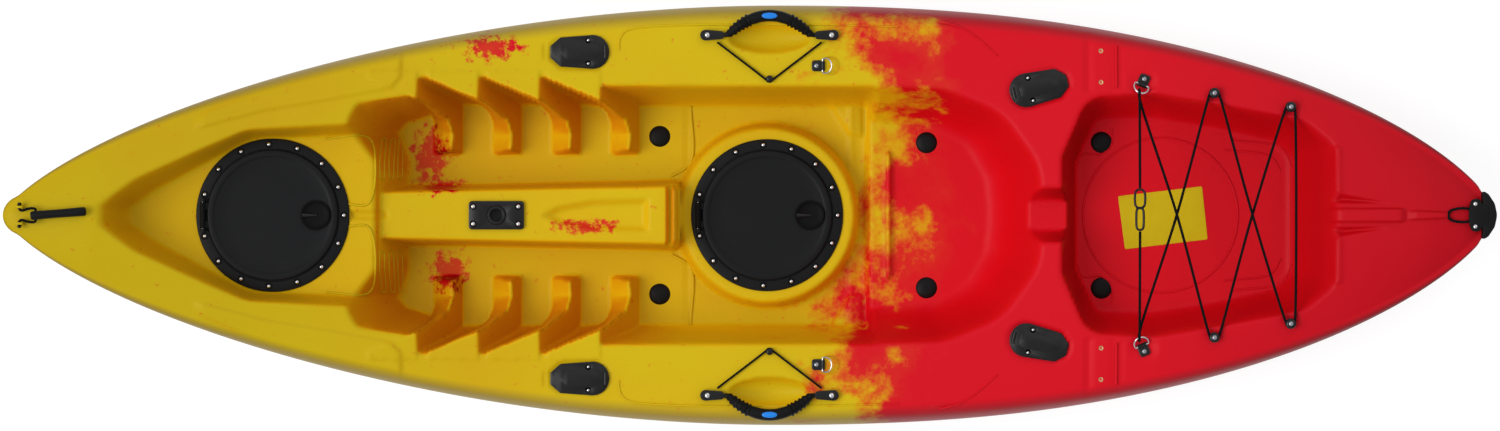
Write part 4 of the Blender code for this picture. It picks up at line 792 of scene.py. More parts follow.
    def beads(self) -> list[tuple[Flat, float, bool]]:
        """The fine moulded beads of the +Y half: path, radius and whether each is closed."""
        found = [
            ([(-0.745, 0.022), (-0.697, 0.022), (-0.697, 0.140), (-0.775, 0.140)], 0.0016, False),
            ([(-0.111, 0.203), (-0.111, 0.098), (-0.1450, 0.073)], 0.0022, False),
            ([(-0.239, 0.300), (-0.239, 0.316), (-0.232, 0.331), (-0.215, 0.3395), (0.05, 0.3475), (0.270, 0.343)],
             0.0014, False),
            ([(0.344, 0.352), (0.372, 0.345), (0.402, 0.330), (0.449, 0.290)], 0.0014, False),
            ([(0.6645, 0.232), (0.6645, 0.308)], 0.0020, False),
            ([(0.600, 0.090), (0.612, 0.112), (0.645, 0.112), (0.664, 0.132), (0.664, 0.160)], 0.0014, False),
            ([(0.870, 0.120), (0.955, 0.108), (0.975, 0.080)], 0.0014, False),
            ([(0.885, 0.138), (0.975, 0.124), (0.995, 0.090)], 0.0014, False),
        ]
        reach = 0.0034
        for x in (-0.6745, -0.6600, -0.6465):
            loop = [(x - reach, 0.066), (x + reach, 0.066), (x + reach, 0.142), (x - reach, 0.142)]
            found.append(([tuple(p) for p in rounded([(*c, 0.0033) for c in loop], 4)], 0.0011, True))
        turns = [math.radians(a) for a in range(-120, 121, 15)]
        x, y, radius = 0.1442, 0.2718, 0.0165
        found.append(([(x + radius * math.cos(a), y + radius * math.sin(a)) for a in turns], 0.0009, False))
        return found

    @staticmethod
    def middle_bead() -> tuple[Flat, float, bool]:
        """The round bead on the tank well's floor."""
        return round_flat(0.7536, 0, 0.142, 36), 0.0016, True


@dataclass
class Hull:
    """The moulded hull as one closed skin with its holes."""

    finishes: Finishes
    form: HullForm
    holders: list[RodHolder]
    deck_columns: int = 150
    side_columns: int = 5
    bottom_columns: int = 14
    pitches: tuple = ((-0.745, 0.0085), (-0.140, 0.0037), (0.60, 0.0054), (1.19, 0.0060), (1.40, 0.0080))
    nose_radius: float = 0.036
    tail_radius: float = 0.022
    stern_reach: float = 0.015
    deck_share: float = 0.905
    shoulder: float = 0.968
    throat: float = 0.122
    tube: float = 0.0295
    socket: float = 0.0240
    drain: float = 0.016
    mount: tuple = ((-0.5162, -0.0270), (-0.4128, -0.0270), (-0.4128, 0.0270), (-0.5162, 0.0270))
    mount_z: float = 0.218
    bead_rise: float = 0.35
    bead_width: float = 1.3
    rib: tuple[float, float, float] = (0.2540, 0.118, 0.0046)

    def rows(self) -> Array:
        """Places of the sections from the bow to the stern."""
        first, last = -self.form.length / 2, self.form.stern_tip
        turn = np.linspace(0, math.pi / 2, 9)
        nose = first + self.nose_radius * (1 - np.cos(turn))
        tail = last - self.tail_radius * (1 - np.cos(turn[::-1]))
        parts, low = [nose], nose[-1]
        for high, pitch in self.pitches:
            high = min(high, tail[0])
            parts.append(np.linspace(low, high, int((high - low) / pitch) + 1)[1:])
            low = high
        return np.concatenate([*parts, tail[1:]])

    def half_breadth(self, x: Array) -> Array:
        """Half the skin's breadth, with its rounded nose and tail."""
        form = replace(self.form, stern_tip=self.form.stern_tip + self.stern_reach)
        half = form.half_breadth(x)
        first, last = -form.length / 2, self.form.stern_tip
        nose = np.sqrt(np.clip(self.nose_radius**2 - (first + self.nose_radius - x) ** 2, 0, None))
        half = np.where(x < first + self.nose_radius, np.maximum(nose, half), half)
        half = np.where(x <= first + 1e-6, 0, half)
        past = np.clip((x - (last - self.tail_radius)) / self.tail_radius, 0, 1)
        return half * np.sqrt(1 - past**2)

    def section(self, x: Array) -> list[Array]:
        """The skin below its widest line, from that line to the keel.

        Args:
            x: the section's place, one value per row.
        Returns:
            Shares of the half breadth and of the height, rows by columns.
        """
        middle = np.array([(1, 0.56), (0.90, 0.22), (0.70, 0), (0.52, 0), (0.34, 0.12), (0.13, 0), (0, 0)])
        end = np.array([(1, 0.94), (0.96, 0.86), (0.80, 0.68), (0.62, 0.5), (0.47, 0.37), (0.30, 0.22), (0, 0.0)])
        blend = smooth_step(0.45, 1, self.form.end_share(x))[:, None]
        index = np.linspace(0, 6, self.bottom_columns + 1)
        shares = []
        for axis in (0, 1):
            tones = []
            for table in (middle, end):
                tone = sum(np.interp(index + move, np.arange(7), table[:, axis]) for move in (-0.4, 0, 0.4)) / 3
                tone[0], tone[-1] = table[0, axis], table[-1, axis]
                tones.append(tone)
            shares.append(tones[0] * (1 - blend) + tones[1] * blend)
        return shares

    def seats(self) -> list[Seat]:
        """The flats under the fittings of the +Y half."""
        flats = [Seat(np.array(self.mount), self.mount_z)]
        for name in ("bow_handle_pad", "stern_handle_pad", "paddle_hook"):
            (low_x, low_y, foot), (high_x, high_y, _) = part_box(f"port_{name}")
            low_x, low_y, high_x, high_y = low_x - MM, low_y - MM, high_x + MM, high_y + MM
            corners = ((low_x, low_y), (high_x, low_y), (high_x, high_y), (low_x, high_y))
            flats.append(Seat(np.array(corners), foot - SEAT_GAP))
        for holder in self.holders:
            if holder.side is Side.PORT:
                outline = np.array(holder.placed(holder.outline(-MM)))
                flats.append(Seat(outline, holder.top - holder.thick - SEAT_GAP, 5 * MM))
        for places, radius, node in ((RINGS, 0.0205, "ring_pad"), (BUTTONS, 0.0135, "bungee_button")):
            for label, (x, y) in places.items():
                level = low_of(f"{label}_port_{node}") - SEAT_GAP
                flats.append(Seat(np.array(round_flat(x, y, radius)), level))
        return flats

    def surface(self, x: Array, y: Array) -> Array:
        """Height of the finished deck at each point.

        Args:
            x: the points' X.
            y: the points' Y.
        Returns:
            The heights.
        """
        shape, y = DeckShape(self.form), np.abs(y)
        z = shape.bare(x, y)
        for relief in (*shape.blocks(), *shape.panels(), *shape.lines(), *self.seats()):
            relief.mould(x, y, z)
        return z

    def on_deck(self, path: list[Vector], lift: float) -> list[Vector]:
        """The path laid on the deck, raised by the lift."""
        heights = self.surface(np.array([p.x for p in path]), np.array([p.y for p in path]))
        return [Vector((p.x, p.y, float(height) + lift)) for p, height in zip(path, heights)]

    def beads(self) -> None:
        """Lay the fine moulded beads and the seat's front rib on the deck."""
        shape = DeckShape(self.form)
        runs = [shape.middle_bead()]
        for path, radius, closed in shape.beads():
            runs += [([(px, side.value * py) for px, py in path], radius, closed) for side in Side]
        shapes = []
        for path, radius, closed in runs:
            line = self.on_deck(eased([(px, py, 0) for px, py in path], 4 * MM, closed), self.bead_rise * radius)
            shapes.append(sweep(line, self.bead_width * radius, 8, closed))
        x, reach, radius = self.rib
        line = self.on_deck([Vector((x, y, 0)) for y in np.linspace(-reach, reach, 40)], MM)
        radii = [radius * math.sqrt(max(0.06, 1 - (abs(p.y) / (reach + 0.5 * MM)) ** 16)) for p in line]
        shapes.append(sweep(line, radius, 14, radii=radii))
        piece(joined(*shapes), "moulded_beads", self.finishes.hull, angle=60)

    def flank(self, rows: Array, half: Array) -> tuple[Array, Array]:
        """The skin from the deck's edge down to the keel.

        Args:
            rows: the sections' places.
            half: half the breadth at each.
        Returns:
            Y and Z, rows by columns.
        """
        edge, keel = self.form.edge_height(rows), self.form.keel_height(rows)
        across, up = self.section(rows)
        widest, full = up[:, :1], 0.55
        t = np.linspace(0, 1, self.side_columns + 1)[1:][None, :]
        start, second, third, last = (1 - t) ** 3, 3 * t * (1 - t) ** 2, 3 * t**2 * (1 - t), t**3
        bend_y = np.repeat(self.deck_share * start + self.shoulder * second + third + last, len(rows), axis=0)
        bend_z = start + second + (full + (1 - full) * widest) * third + widest * last
        tall = (edge - keel)[:, None]
        return (np.hstack([bend_y, across[:, 1:]]) * half[:, None],
                keel[:, None] + np.hstack([bend_z, up[:, 1:]]) * tall)

    def tints(self, x: Array, y: Array, z: Array) -> Array:
        """How much painted shade each point of the deck takes, by its slope, its depth and where it lies.

        Args:
            x: the deck's X, rows by columns.
            y: its Y.
            z: its heights.
        Returns:
            Shares from 0 to 1.
        """
        slope = np.hypot(*(np.gradient(z, axis=axis) / np.maximum(np.gradient(way, axis=axis), 1e-4)
                           for axis, way in ((0, x), (1, y))))
        # Painted shade is strongest on the footwells' walls, the fins' slots and the groove. It is lighter on the
        # console's sides and the seat, and a faint share covers sunk floors.
        places, shares = zip((-0.76, 0.62), (-0.68, 1.0), (-0.27, 1.0), (-0.12, 0.5), (0.52, 0.5), (0.57, 0.9),
                             (0.60, 0.9), (0.66, 0.5))
        deep, console = np.interp(x, places, shares), 0.68
        beside = smooth_step(0.070, 0.090, np.abs(y))
        deep = np.where((x > -0.68) & (x < -0.153), console + (deep - console) * beside, deep)
        deep = np.where((np.abs(x + 0.148) < 0.010) & (np.abs(y) < 0.054), 1.0, deep)
        sunk = smooth_step(0.030, 0.050, self.form.edge_height(x) - z)
        return np.maximum(smooth_step(0.35, 1.9, slope) * deep, np.where(x < -0.69, 0.22, 0.07) * sunk)

    def build(self) -> bpy.types.Object:
        """Make the skin, cut its holes and dress it.

        Returns:
            The hull's object.
        """
        rows = self.rows()
        half = self.half_breadth(rows)
        flank_y, flank_z = self.flank(rows, half)
        deck_y = np.linspace(-self.deck_share, self.deck_share, self.deck_columns + 1)[None, :] * half[:, None]
        deck_x = np.repeat(rows[:, None], deck_y.shape[1], axis=1)
        deck_z = self.surface(deck_x.ravel(), deck_y.ravel()).reshape(deck_y.shape)
        y = np.hstack([-flank_y[:, ::-1], deck_y, flank_y])
        z = np.hstack([flank_z[:, ::-1], deck_z, flank_z])
        sides = flank_y.shape[1]
        # Painted shade and reflection: the flank share greys the hull's sides below the deck's edge. The wall share
        # paints shade on the deck's walls and wells.
        band = np.minimum(0.45 * np.arange(1, sides + 1), 0.80)
        band[self.side_columns:] = 0.2
        painted_shade, flank = np.zeros_like(z), np.zeros_like(z)
        painted_shade[:, sides:-sides] = self.tints(deck_x, deck_y, deck_z)
        flank[:, :sides], flank[:, -sides:] = band[::-1], band
        bm = bmesh.new()
        bmesh.ops.create_grid(bm, x_segments=y.shape[0] - 1, y_segments=y.shape[1] - 1, size=1)
        wall, side = bm.verts.layers.float.new("wall"), bm.verts.layers.float.new("flank")
        for vert in bm.verts:
            row, column = (round((at + 1) / 2 * (size - 1)) for at, size in zip(vert.co, y.shape))
            vert.co = (rows[row], y[row, column], z[row, column])
            vert[wall], vert[side] = float(painted_shade[row, column]), float(flank[row, column])
        ends = [v for v in bm.verts if abs(v.co.y) < 1e-7]
        bmesh.ops.remove_doubles(bm, verts=ends, dist=1e-6)
        bmesh.ops.dissolve_degenerate(bm, edges=bm.edges, dist=1e-6)
        self.open_holes(bm)
        bmesh.ops.recalc_face_normals(bm, faces=bm.faces)
        if max(bm.faces, key=lambda f: f.calc_center_median().z).normal.z < 0:
            bmesh.ops.reverse_faces(bm, faces=bm.faces)
        self.beads()
        return piece(bm, "hull_skin", self.finishes.hull, replaces=("hull",), angle=None)

    def open_holes(self, bm: Shape) -> None:
        """Open the hatch throats, the rod tubes, the scuppers and the mount's socket.

        Args:
            bm: the skin.
        """
        hidden = [(x, 0.0, self.throat) for x, _ in HATCHES.values()] + [(MOUNT_X, 0.0, self.socket)]
        hidden += [(*holder.mouth(), self.tube) for holder in self.holders]
        doomed = [face for face in bm.faces if face.verts[0].co.z > 0.10
                  and any(all(math.hypot(v.co.x - x, v.co.y - y) < radius for v in face.verts)
                          for x, y, radius in hidden)]
        bmesh.ops.delete(bm, geom=doomed, context="FACES")
        for x, y, floor in SCUPPERS.values():
            for side in Side:
                self.round_hole(bm, x, side.value * y, self.drain, floor)

    @staticmethod
    def round_hole(bm: Shape, x: float, y: float, radius: float, floor: float) -> None:
        """Open a round hole through the floor and the bottom.

        Args:
            bm: the skin.
            x: the hole's X.
            y: the hole's Y.
            radius: its radius.
            floor: height of the floor there.
        """
        def away(place: Vector) -> float:
            """Distance from the hole's axis."""
            return math.hypot(place.x - x, place.y - y)

        long_edges = [e for e in bm.edges if e.calc_length() > 0.009 and e.verts[0].co.z < floor - 0.02
                      and abs(e.verts[0].co.x - x) < 0.03 and min(away(v.co) for v in e.verts) < 0.045]
        bmesh.ops.subdivide_edges(bm, edges=long_edges, cuts=4, use_grid_fill=True)
        near = [f for f in bm.faces if away(f.calc_center_median()) < radius]
        rim = {v for f in near for v in f.verts}
        bmesh.ops.delete(bm, geom=near, context="FACES")
        for vert in rim:
            if vert.is_valid and vert.link_faces:
                reach = max(away(vert.co), 1e-6)
                vert.co.x = x + (vert.co.x - x) * radius / reach
                vert.co.y = y + (vert.co.y - y) * radius / reach


# Shapes and pieces


def piece(bm: Shape, name: str, material: bpy.types.Material, body: str = ROOT,
          replaces: tuple[str, ...] = (), angle: float | None = 35.0) -> bpy.types.Object:
    """Turn a bmesh into a finished piece that rides on a body.

    Args:
        bm: the shape, in its place.
        name: the piece's name.
        material: its finish.
        body: the body that it rides on.
        replaces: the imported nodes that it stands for.
        angle: edges sharper than this stay sharp, in degrees.
    Returns:
        The object.
    """
    mesh = bpy.data.meshes.new(name)
    bm.to_mesh(mesh)
    bm.free()
    mesh.shade_smooth()
    if angle is not None:
        mesh.set_sharp_from_angle(angle=math.radians(angle))
    made = bpy.data.objects.new(name, mesh)
    bpy.context.scene.collection.objects.link(made)
    mesh.materials.append(material)
    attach(made, body)
    if replaces:
        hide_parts(*replaces)
    log.info("%s: %d faces on %s", name, len(mesh.polygons), body)
    return made


def stand_in(bm: Shape, node: str, material: bpy.types.Material, angle: float,
             body: str = ROOT) -> None:
    """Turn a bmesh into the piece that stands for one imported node.

    Args:
        bm: the shape, in its place.
        node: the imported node.
        material: its finish.
        angle: edges sharper than this stay sharp, in degrees.
        body: the body that it rides on.
    """
    piece(bm, f"{node}_moulding", material, body, (node,), angle)


def heads(shapes: list[Shape], name: str, steel: bpy.types.Material) -> None:
    """Turn screw heads into one piece."""
    piece(joined(*shapes), name, steel, angle=50)


def joined(*shapes: Shape) -> Shape:
    """Put several shapes in one mesh.

    Args:
        shapes: the shapes, which are used up.
    Returns:
        The shape that holds them all.
    """
    whole = bmesh.new()
    for shape in shapes:
        held = bpy.data.meshes.new("held")
        shape.to_mesh(held)
        shape.free()
        whole.from_mesh(held)
        bpy.data.meshes.remove(held)
    return whole


def moved(bm: Shape, turn: Matrix, place: Point) -> Shape:
    """Turn a shape about the origin and then put it in its place."""
    bmesh.ops.transform(bm, matrix=Matrix.Translation(place) @ turn.to_4x4(), verts=bm.verts)
    return bm


def lathe(profile: Flat, centre: Point, steps: int = 40, closed: bool = False) -> Shape:
    """Spin a profile of radius and height round a vertical axis.

    Args:
        profile: radius and height of each point.
        centre: the axis and the height that the profile counts from.
        steps: steps round the axis.
        closed: the profile is a closed loop, as of a ring.
    Returns:
        The shape.
    """
    bm = bmesh.new()
    verts = [bm.verts.new((r, 0, z)) for r, z in profile]
    for a, b in zip(verts, verts[1:] + (verts[:1] if closed else [])):
        bm.edges.new((a, b))
    bmesh.ops.spin(bm, geom=bm.verts[:] + bm.edges[:], cent=(0, 0, 0), axis=(0, 0, 1), angle=2 * math.pi,
                   steps=steps, use_merge=True, use_duplicate=False)
    bmesh.ops.remove_doubles(bm, verts=bm.verts, dist=1e-6)
    bmesh.ops.recalc_face_normals(bm, faces=bm.faces)
    bmesh.ops.translate(bm, vec=centre, verts=bm.verts)
    return bm


def plate(loops: list[Flat], low: float, high: float, bevel: float = 0.0, segments: int = 2) -> Shape:
    """Raise a plate between two heights from its outline and the outlines of its holes.

    Args:
        loops: the outline, then the holes.
        low: height of its foot.
        high: height of its top.
        bevel: width of the rounding along its top edges.
        segments: steps in that rounding.
    Returns:
        The shape.
    """
    bm = bmesh.new()
    for loop in loops:
        verts = [bm.verts.new((x, y, low)) for x, y in loop]
        for a, b in zip(verts, verts[1:] + verts[:1]):
            bm.edges.new((a, b))
    bmesh.ops.triangle_fill(bm, use_beauty=True, use_dissolve=False, edges=bm.edges)
    raised = bmesh.ops.extrude_face_region(bm, geom=bm.faces[:])["geom"]
    tops = [g for g in raised if isinstance(g, bmesh.types.BMVert)]
    bmesh.ops.translate(bm, vec=(0, 0, high - low), verts=tops)
    bmesh.ops.recalc_face_normals(bm, faces=bm.faces)
    if bevel:
        rim = [e for e in bm.edges if min(v.co.z for v in e.verts) > high - 1e-6
               and any(abs(f.normal.z) < 0.5 for f in e.link_faces)]
        bmesh.ops.bevel(bm, geom=rim, offset=bevel, affect="EDGES", segments=segments, profile=0.5, material=-1,
                        clamp_overlap=True)
    return bm


def soft_flat(corners: list[Point], steps: int) -> Flat:
    """The outline of rounded corners as a list."""
    return [tuple(point) for point in rounded(corners, steps)]


def round_flat(x: float, y: float, radius: float, steps: int = 32) -> Flat:
    """The outline of a circle."""
    turns = [2 * math.pi * k / steps for k in range(steps)]
    return [(x + radius * math.cos(a), y + radius * math.sin(a)) for a in turns]


def turned_flat(points: Flat, degrees: float, x: float, y: float, flip: int = 1) -> Flat:
    """Turn a flat outline about its own centre and put it in place, mirrored in Y if flip is -1."""
    c, s = math.cos(math.radians(degrees)), math.sin(math.radians(degrees))
    return [(x + px * c - py * s, flip * (y + px * s + py * c)) for px, py in points]


def eased(points: list[Point], step: float = 0.003, closed: bool = False) -> list[Vector]:
    """A smooth curve through points, which stays tight where they lie close together.

    Args:
        points: the points.
        step: the pitch of the curve's own points.
        closed: the curve ends where it starts.
    Returns:
        The curve's points.
    """
    held = [Vector(p) for p in points]
    ends = (held[-1:], held[:2]) if closed else ([2 * held[0] - held[1]], [2 * held[-1] - held[-2]])
    line = ends[0] + held + ends[1]
    found = []
    for p0, p1, p2, p3 in zip(line, line[1:], line[2:], line[3:]):
        t1 = max((p1 - p0).length, 1e-9) ** 0.5
        t2 = t1 + max((p2 - p1).length, 1e-9) ** 0.5
        t3 = t2 + max((p3 - p2).length, 1e-9) ** 0.5
        count = max(1, round((p2 - p1).length / step))
        for k in range(count):
            t = t1 + (t2 - t1) * k / count
            a1, a2 = p0.lerp(p1, t / t1), p1.lerp(p2, (t - t1) / (t2 - t1))
            a3 = p2.lerp(p3, (t - t2) / (t3 - t2))
            b1, b2 = a1.lerp(a2, t / t2), a2.lerp(a3, (t - t1) / (t3 - t1))
            found.append(b1.lerp(b2, (t - t1) / (t2 - t1)))
    return found if closed else found + [held[-1]]


def sweep(line: list[Vector], radius: float, sides: int = 10, closed: bool = False,
          radii: list[float] | None = None, flat: float = 1.0) -> Shape:
    """Draw a round section along a line, with its length and turn kept in a UV map.

    Args:
        line: the line's points.
        radius: the section's radius.
        sides: sides of the section.
        closed: the line ends where it starts.
        radii: the radius at each point, instead of the one above.
        flat: the section's height as a share of its width.
    Returns:
        The shape.
    """
    bm = bmesh.new()
    lay = bm.loops.layers.uv.new(CORD_MAP)
    count = len(line)
    tangents = []
    for k, here in enumerate(line):
        ahead = line[(k + 1) % count] if closed or k < count - 1 else here
        back = line[k - 1] if closed or k else here
        tangents.append((ahead - back).normalized())
    normal = Vector((0, 0, 1)) if abs(tangents[0].z) < 0.9 else Vector((1, 0, 0))
    places, run = [], 0.0
    for k, (here, tangent) in enumerate(zip(line, tangents)):
        normal = (normal - tangent * normal.dot(tangent)).normalized()
        wide = radii[k] if radii else radius
        side = tangent.cross(normal)
        frame = Matrix((side * wide, normal * wide * flat, tangent)).transposed().to_4x4()
        run += (here - line[k - 1]).length if k else 0.0
        places.append((Matrix.Translation(here) @ frame, run))
    first = bmesh.ops.create_circle(bm, segments=sides, radius=1, cap_ends=False)["verts"]
    where = {}
    for index, vert in enumerate(first):
        where[vert] = (0.0, index / sides)
    bmesh.ops.transform(bm, matrix=places[0][0], verts=first)
    edges = first_edges = bm.edges[:]
    for k in range(1, count):
        made = bmesh.ops.extrude_edge_only(bm, edges=edges)["geom"]
        fresh = [g for g in made if isinstance(g, bmesh.types.BMVert)]
        edges = [g for g in made if isinstance(g, bmesh.types.BMEdge) and all(v in fresh for v in g.verts)]
        for vert in fresh:
            before = next(o for o in (e.other_vert(vert) for e in vert.link_edges) if o in where)
            where[vert] = (places[k][1], where[before][1])
        bmesh.ops.transform(bm, matrix=places[k][0] @ places[k - 1][0].inverted(), verts=fresh)
    if closed:
        bmesh.ops.bridge_loops(bm, edges=first_edges + edges)
    else:
        for rim in (first_edges, edges):
            bmesh.ops.edgeloop_fill(bm, edges=rim)
    for face in bm.faces:
        turns = [where[loop.vert][1] for loop in face.loops]
        for loop in face.loops:
            along, turn = where[loop.vert]
            loop[lay].uv = (along, turn + (1 if max(turns) - turn > 0.5 else 0))
    bmesh.ops.recalc_face_normals(bm, faces=bm.faces)
    return bm


def screw(centre: Point, radius: float = 0.0037, rise: float = 0.0025, steps: int = 14) -> Shape:
    """A domed screw head with its small socket."""
    return lathe([
        (0, 0.55 * rise), (0.28 * radius, 0.55 * rise), (0.33 * radius, rise), (0.60 * radius, 0.90 * rise),
        (0.85 * radius, 0.58 * rise), (radius, 0.10 * rise), (radius, -0.0004), (0, -0.0004),
    ], centre, steps)


def washer(centre: Point, radius: float = 0.0068, rise: float = 0.0006) -> Shape:
    """A thin deep black disc under a screw's head, painted shade for the dark recess round it."""
    profile = [(0, rise), (radius - 0.0005, rise), (radius, 0.4 * rise), (radius, -0.0002), (0, -0.0002)]
    return lathe(profile, centre, 24)


def rod(start: Point, end: Point, radius: float, sides: int = 24) -> Shape:
    """A round bar between two points."""
    line = Vector(end) - Vector(start)
    bm = bmesh.new()
    bmesh.ops.create_cone(bm, cap_ends=True, segments=sides, radius1=radius, radius2=radius, depth=line.length)
    return moved(bm, line.to_track_quat("Z", "Y").to_matrix(), tuple((Vector(start) + Vector(end)) / 2))


def block(size: Point, centre: Point, bevel: float) -> Shape:
    """A block with rounded edges."""
    bm = bmesh.new()
    bmesh.ops.create_cube(bm, size=1)
    bmesh.ops.scale(bm, vec=size, verts=bm.verts)
    bmesh.ops.bevel(bm, geom=bm.edges[:], offset=bevel, affect="EDGES", segments=2, profile=0.5, material=-1)
    bmesh.ops.translate(bm, vec=centre, verts=bm.verts)
    return bm


def low_of(node: str) -> float:
    """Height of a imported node's foot."""
    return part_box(node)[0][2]


def high_of(node: str) -> float:
    """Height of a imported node's top."""
    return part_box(node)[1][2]


def cord_height(button: str) -> float:
    """Height of the cord round a bungee button's neck."""
    return low_of(f"{button}_port_bungee_button") - SEAT_GAP + 0.0095


# Cords


@dataclass
class Cords:
    """Every cord of the kayak, each a free cord of its own length."""

    finishes: Finishes
    shock_radius: float = 0.0025
    keeper_radius: float = 0.0020
    button_neck: float = 0.0045
    clip_ends: tuple[float, float] = (-0.027, 0.047)

    def lay(self, node: str, points: list[Point], radius: float, body: str = ROOT) -> None:
        """Args:
            node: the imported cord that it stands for.
            points: the points that it passes.
            radius: its radius.
            body: the body that it rides on.
        """
        line = eased(points, 0.0025)
        made = piece(sweep(line, radius, 10), f"{node}_braid", self.finishes.cord, body, (node,), None)

    def bungee(self) -> list[Point]:
        """The shock cord's route over the tank well, from the clip through rings and buttons and back."""
        wrap = self.button_neck + self.shock_radius + SEAT_GAP
        (middle, high), (aft, low) = ((place, cord_height(label)) for label, place in BUTTONS.items())
        lift = math.radians(38)
        arm = -0.0195
        eye_x, eye_y = turned_flat([(0, -0.008 + arm * math.cos(lift))], -22, *RINGS["rear"])[0]
        eye_z = low_of("rear_port_ring_pad") + 0.0035 - arm * math.sin(lift)

        def hitch(button: tuple[float, float], first: float, last: float, height: float, side: int) -> list[Point]:
            """Points round a button's neck between two headings."""
            turns = [math.radians(first + (last - first) * k / 5) for k in range(6)]
            x, y = button
            return [(x + wrap * math.cos(a), side * (y + wrap * math.sin(a)), height) for a in turns]

        def through_ring(side: int) -> list[Point]:
            """Points over the ring's wire, down through the ring and back out."""
            steps = ((-0.014, 0.0080), (0.0045, 0.0042), (0.0060, -0.0005), (0.0038, -0.0048), (-0.006, -0.0058))
            return [(eye_x, side * (eye_y + along), eye_z + rise) for along, rise in steps]

        over, under = 1.6 * self.shock_radius, -1.6 * self.shock_radius
        ring_cross = 0.5 * (eye_x + middle[0])
        button_cross = 0.5 * (middle[0] + aft[0])
        foot, top = self.clip_ends
        route = [(CLIP_X, top + CLIP_WIRE + SEAT_GAP, high), *through_ring(1), (ring_cross, 0, high + over)]
        route += [*hitch(middle, 163, 18, high, -1), (button_cross, 0, high + under)]
        route += [*hitch(aft, 162, 0, low, 1), *hitch(aft, 0, 162, low, -1)]
        route += [(button_cross, 0, high + over), *hitch(middle, 18, 163, high, 1), (ring_cross, 0, high + under)]
        route += [*reversed(through_ring(-1)), (CLIP_X, foot - CLIP_WIRE - SEAT_GAP, high)]
        return route

    def keeper(self, side: Side) -> list[Point]:
        """One paddle keeper's route, from an end pad round its hook to the other pad."""
        seat_z = low_of(f"{side.word}_bow_handle_pad") - SEAT_GAP
        hook_z = low_of(f"{side.word}_paddle_hook") - SEAT_GAP
        wrap = 0.0032 + self.keeper_radius + SEAT_GAP
        pad_y = HANDLE_Y - 0.0105 - SEAT_GAP - self.keeper_radius
        route = [(-0.095, pad_y, seat_z + 0.006)]
        route += [
            (wrap * math.cos(a), HOOK_Y + wrap * math.sin(a), hook_z + 0.0045)
            for a in (math.radians(210 + 24 * k) for k in range(6))
        ]
        route += [(0.095, pad_y, seat_z + 0.006)]
        return [(HANDLE_X + x, side.value * y, z) for x, y, z in route]

    def toggle(self) -> list[Point]:
        """The bow toggle's loop through both eyes and the grip."""
        cord_z = (low_of("bow_toggle_cord") + high_of("bow_toggle_cord")) / 2 + 0.0021
        half = [
            (TOGGLE_X, 0.0165, TOGGLE_Z), (TOGGLE_X, 0.011, TOGGLE_Z), (-1.314, 0.0085, TOGGLE_Z),
            (-1.305, 0.011, (TOGGLE_Z + cord_z) / 2), (-1.294, 0.0125, cord_z), (-1.289, 0.011, cord_z),
            (-1.288, 0.007, cord_z),
        ]
        return half + [(x, -y, z) for x, y, z in reversed(half)]

    def stern(self) -> list[Point]:
        """The stern handle's short loop."""
        lift = high_of("stern_handle") - 0.003
        crest = low_of("stern_handle_cord") + self.shock_radius
        half = [
            (1.2982, 0.0115, lift), (1.2865, 0.0125, lift + 0.001), (1.272, 0.0105, crest), (1.264, 0.0069, crest),
            (1.262, 0, crest),
        ]
        return half + [(x, -y, z) for x, y, z in reversed(half[:-1])]

    def build(self) -> None:
        """Lay them all."""
        self.lay("tank_bungee", self.bungee(), self.shock_radius)
        for side in Side:
            self.lay(f"{side.word}_paddle_keeper", self.keeper(side), self.keeper_radius)
        self.lay("bow_toggle_cord", self.toggle(), self.shock_radius, "bow_toggle")
        self.lay("stern_handle_cord", self.stern(), self.shock_radius)


# Fittings


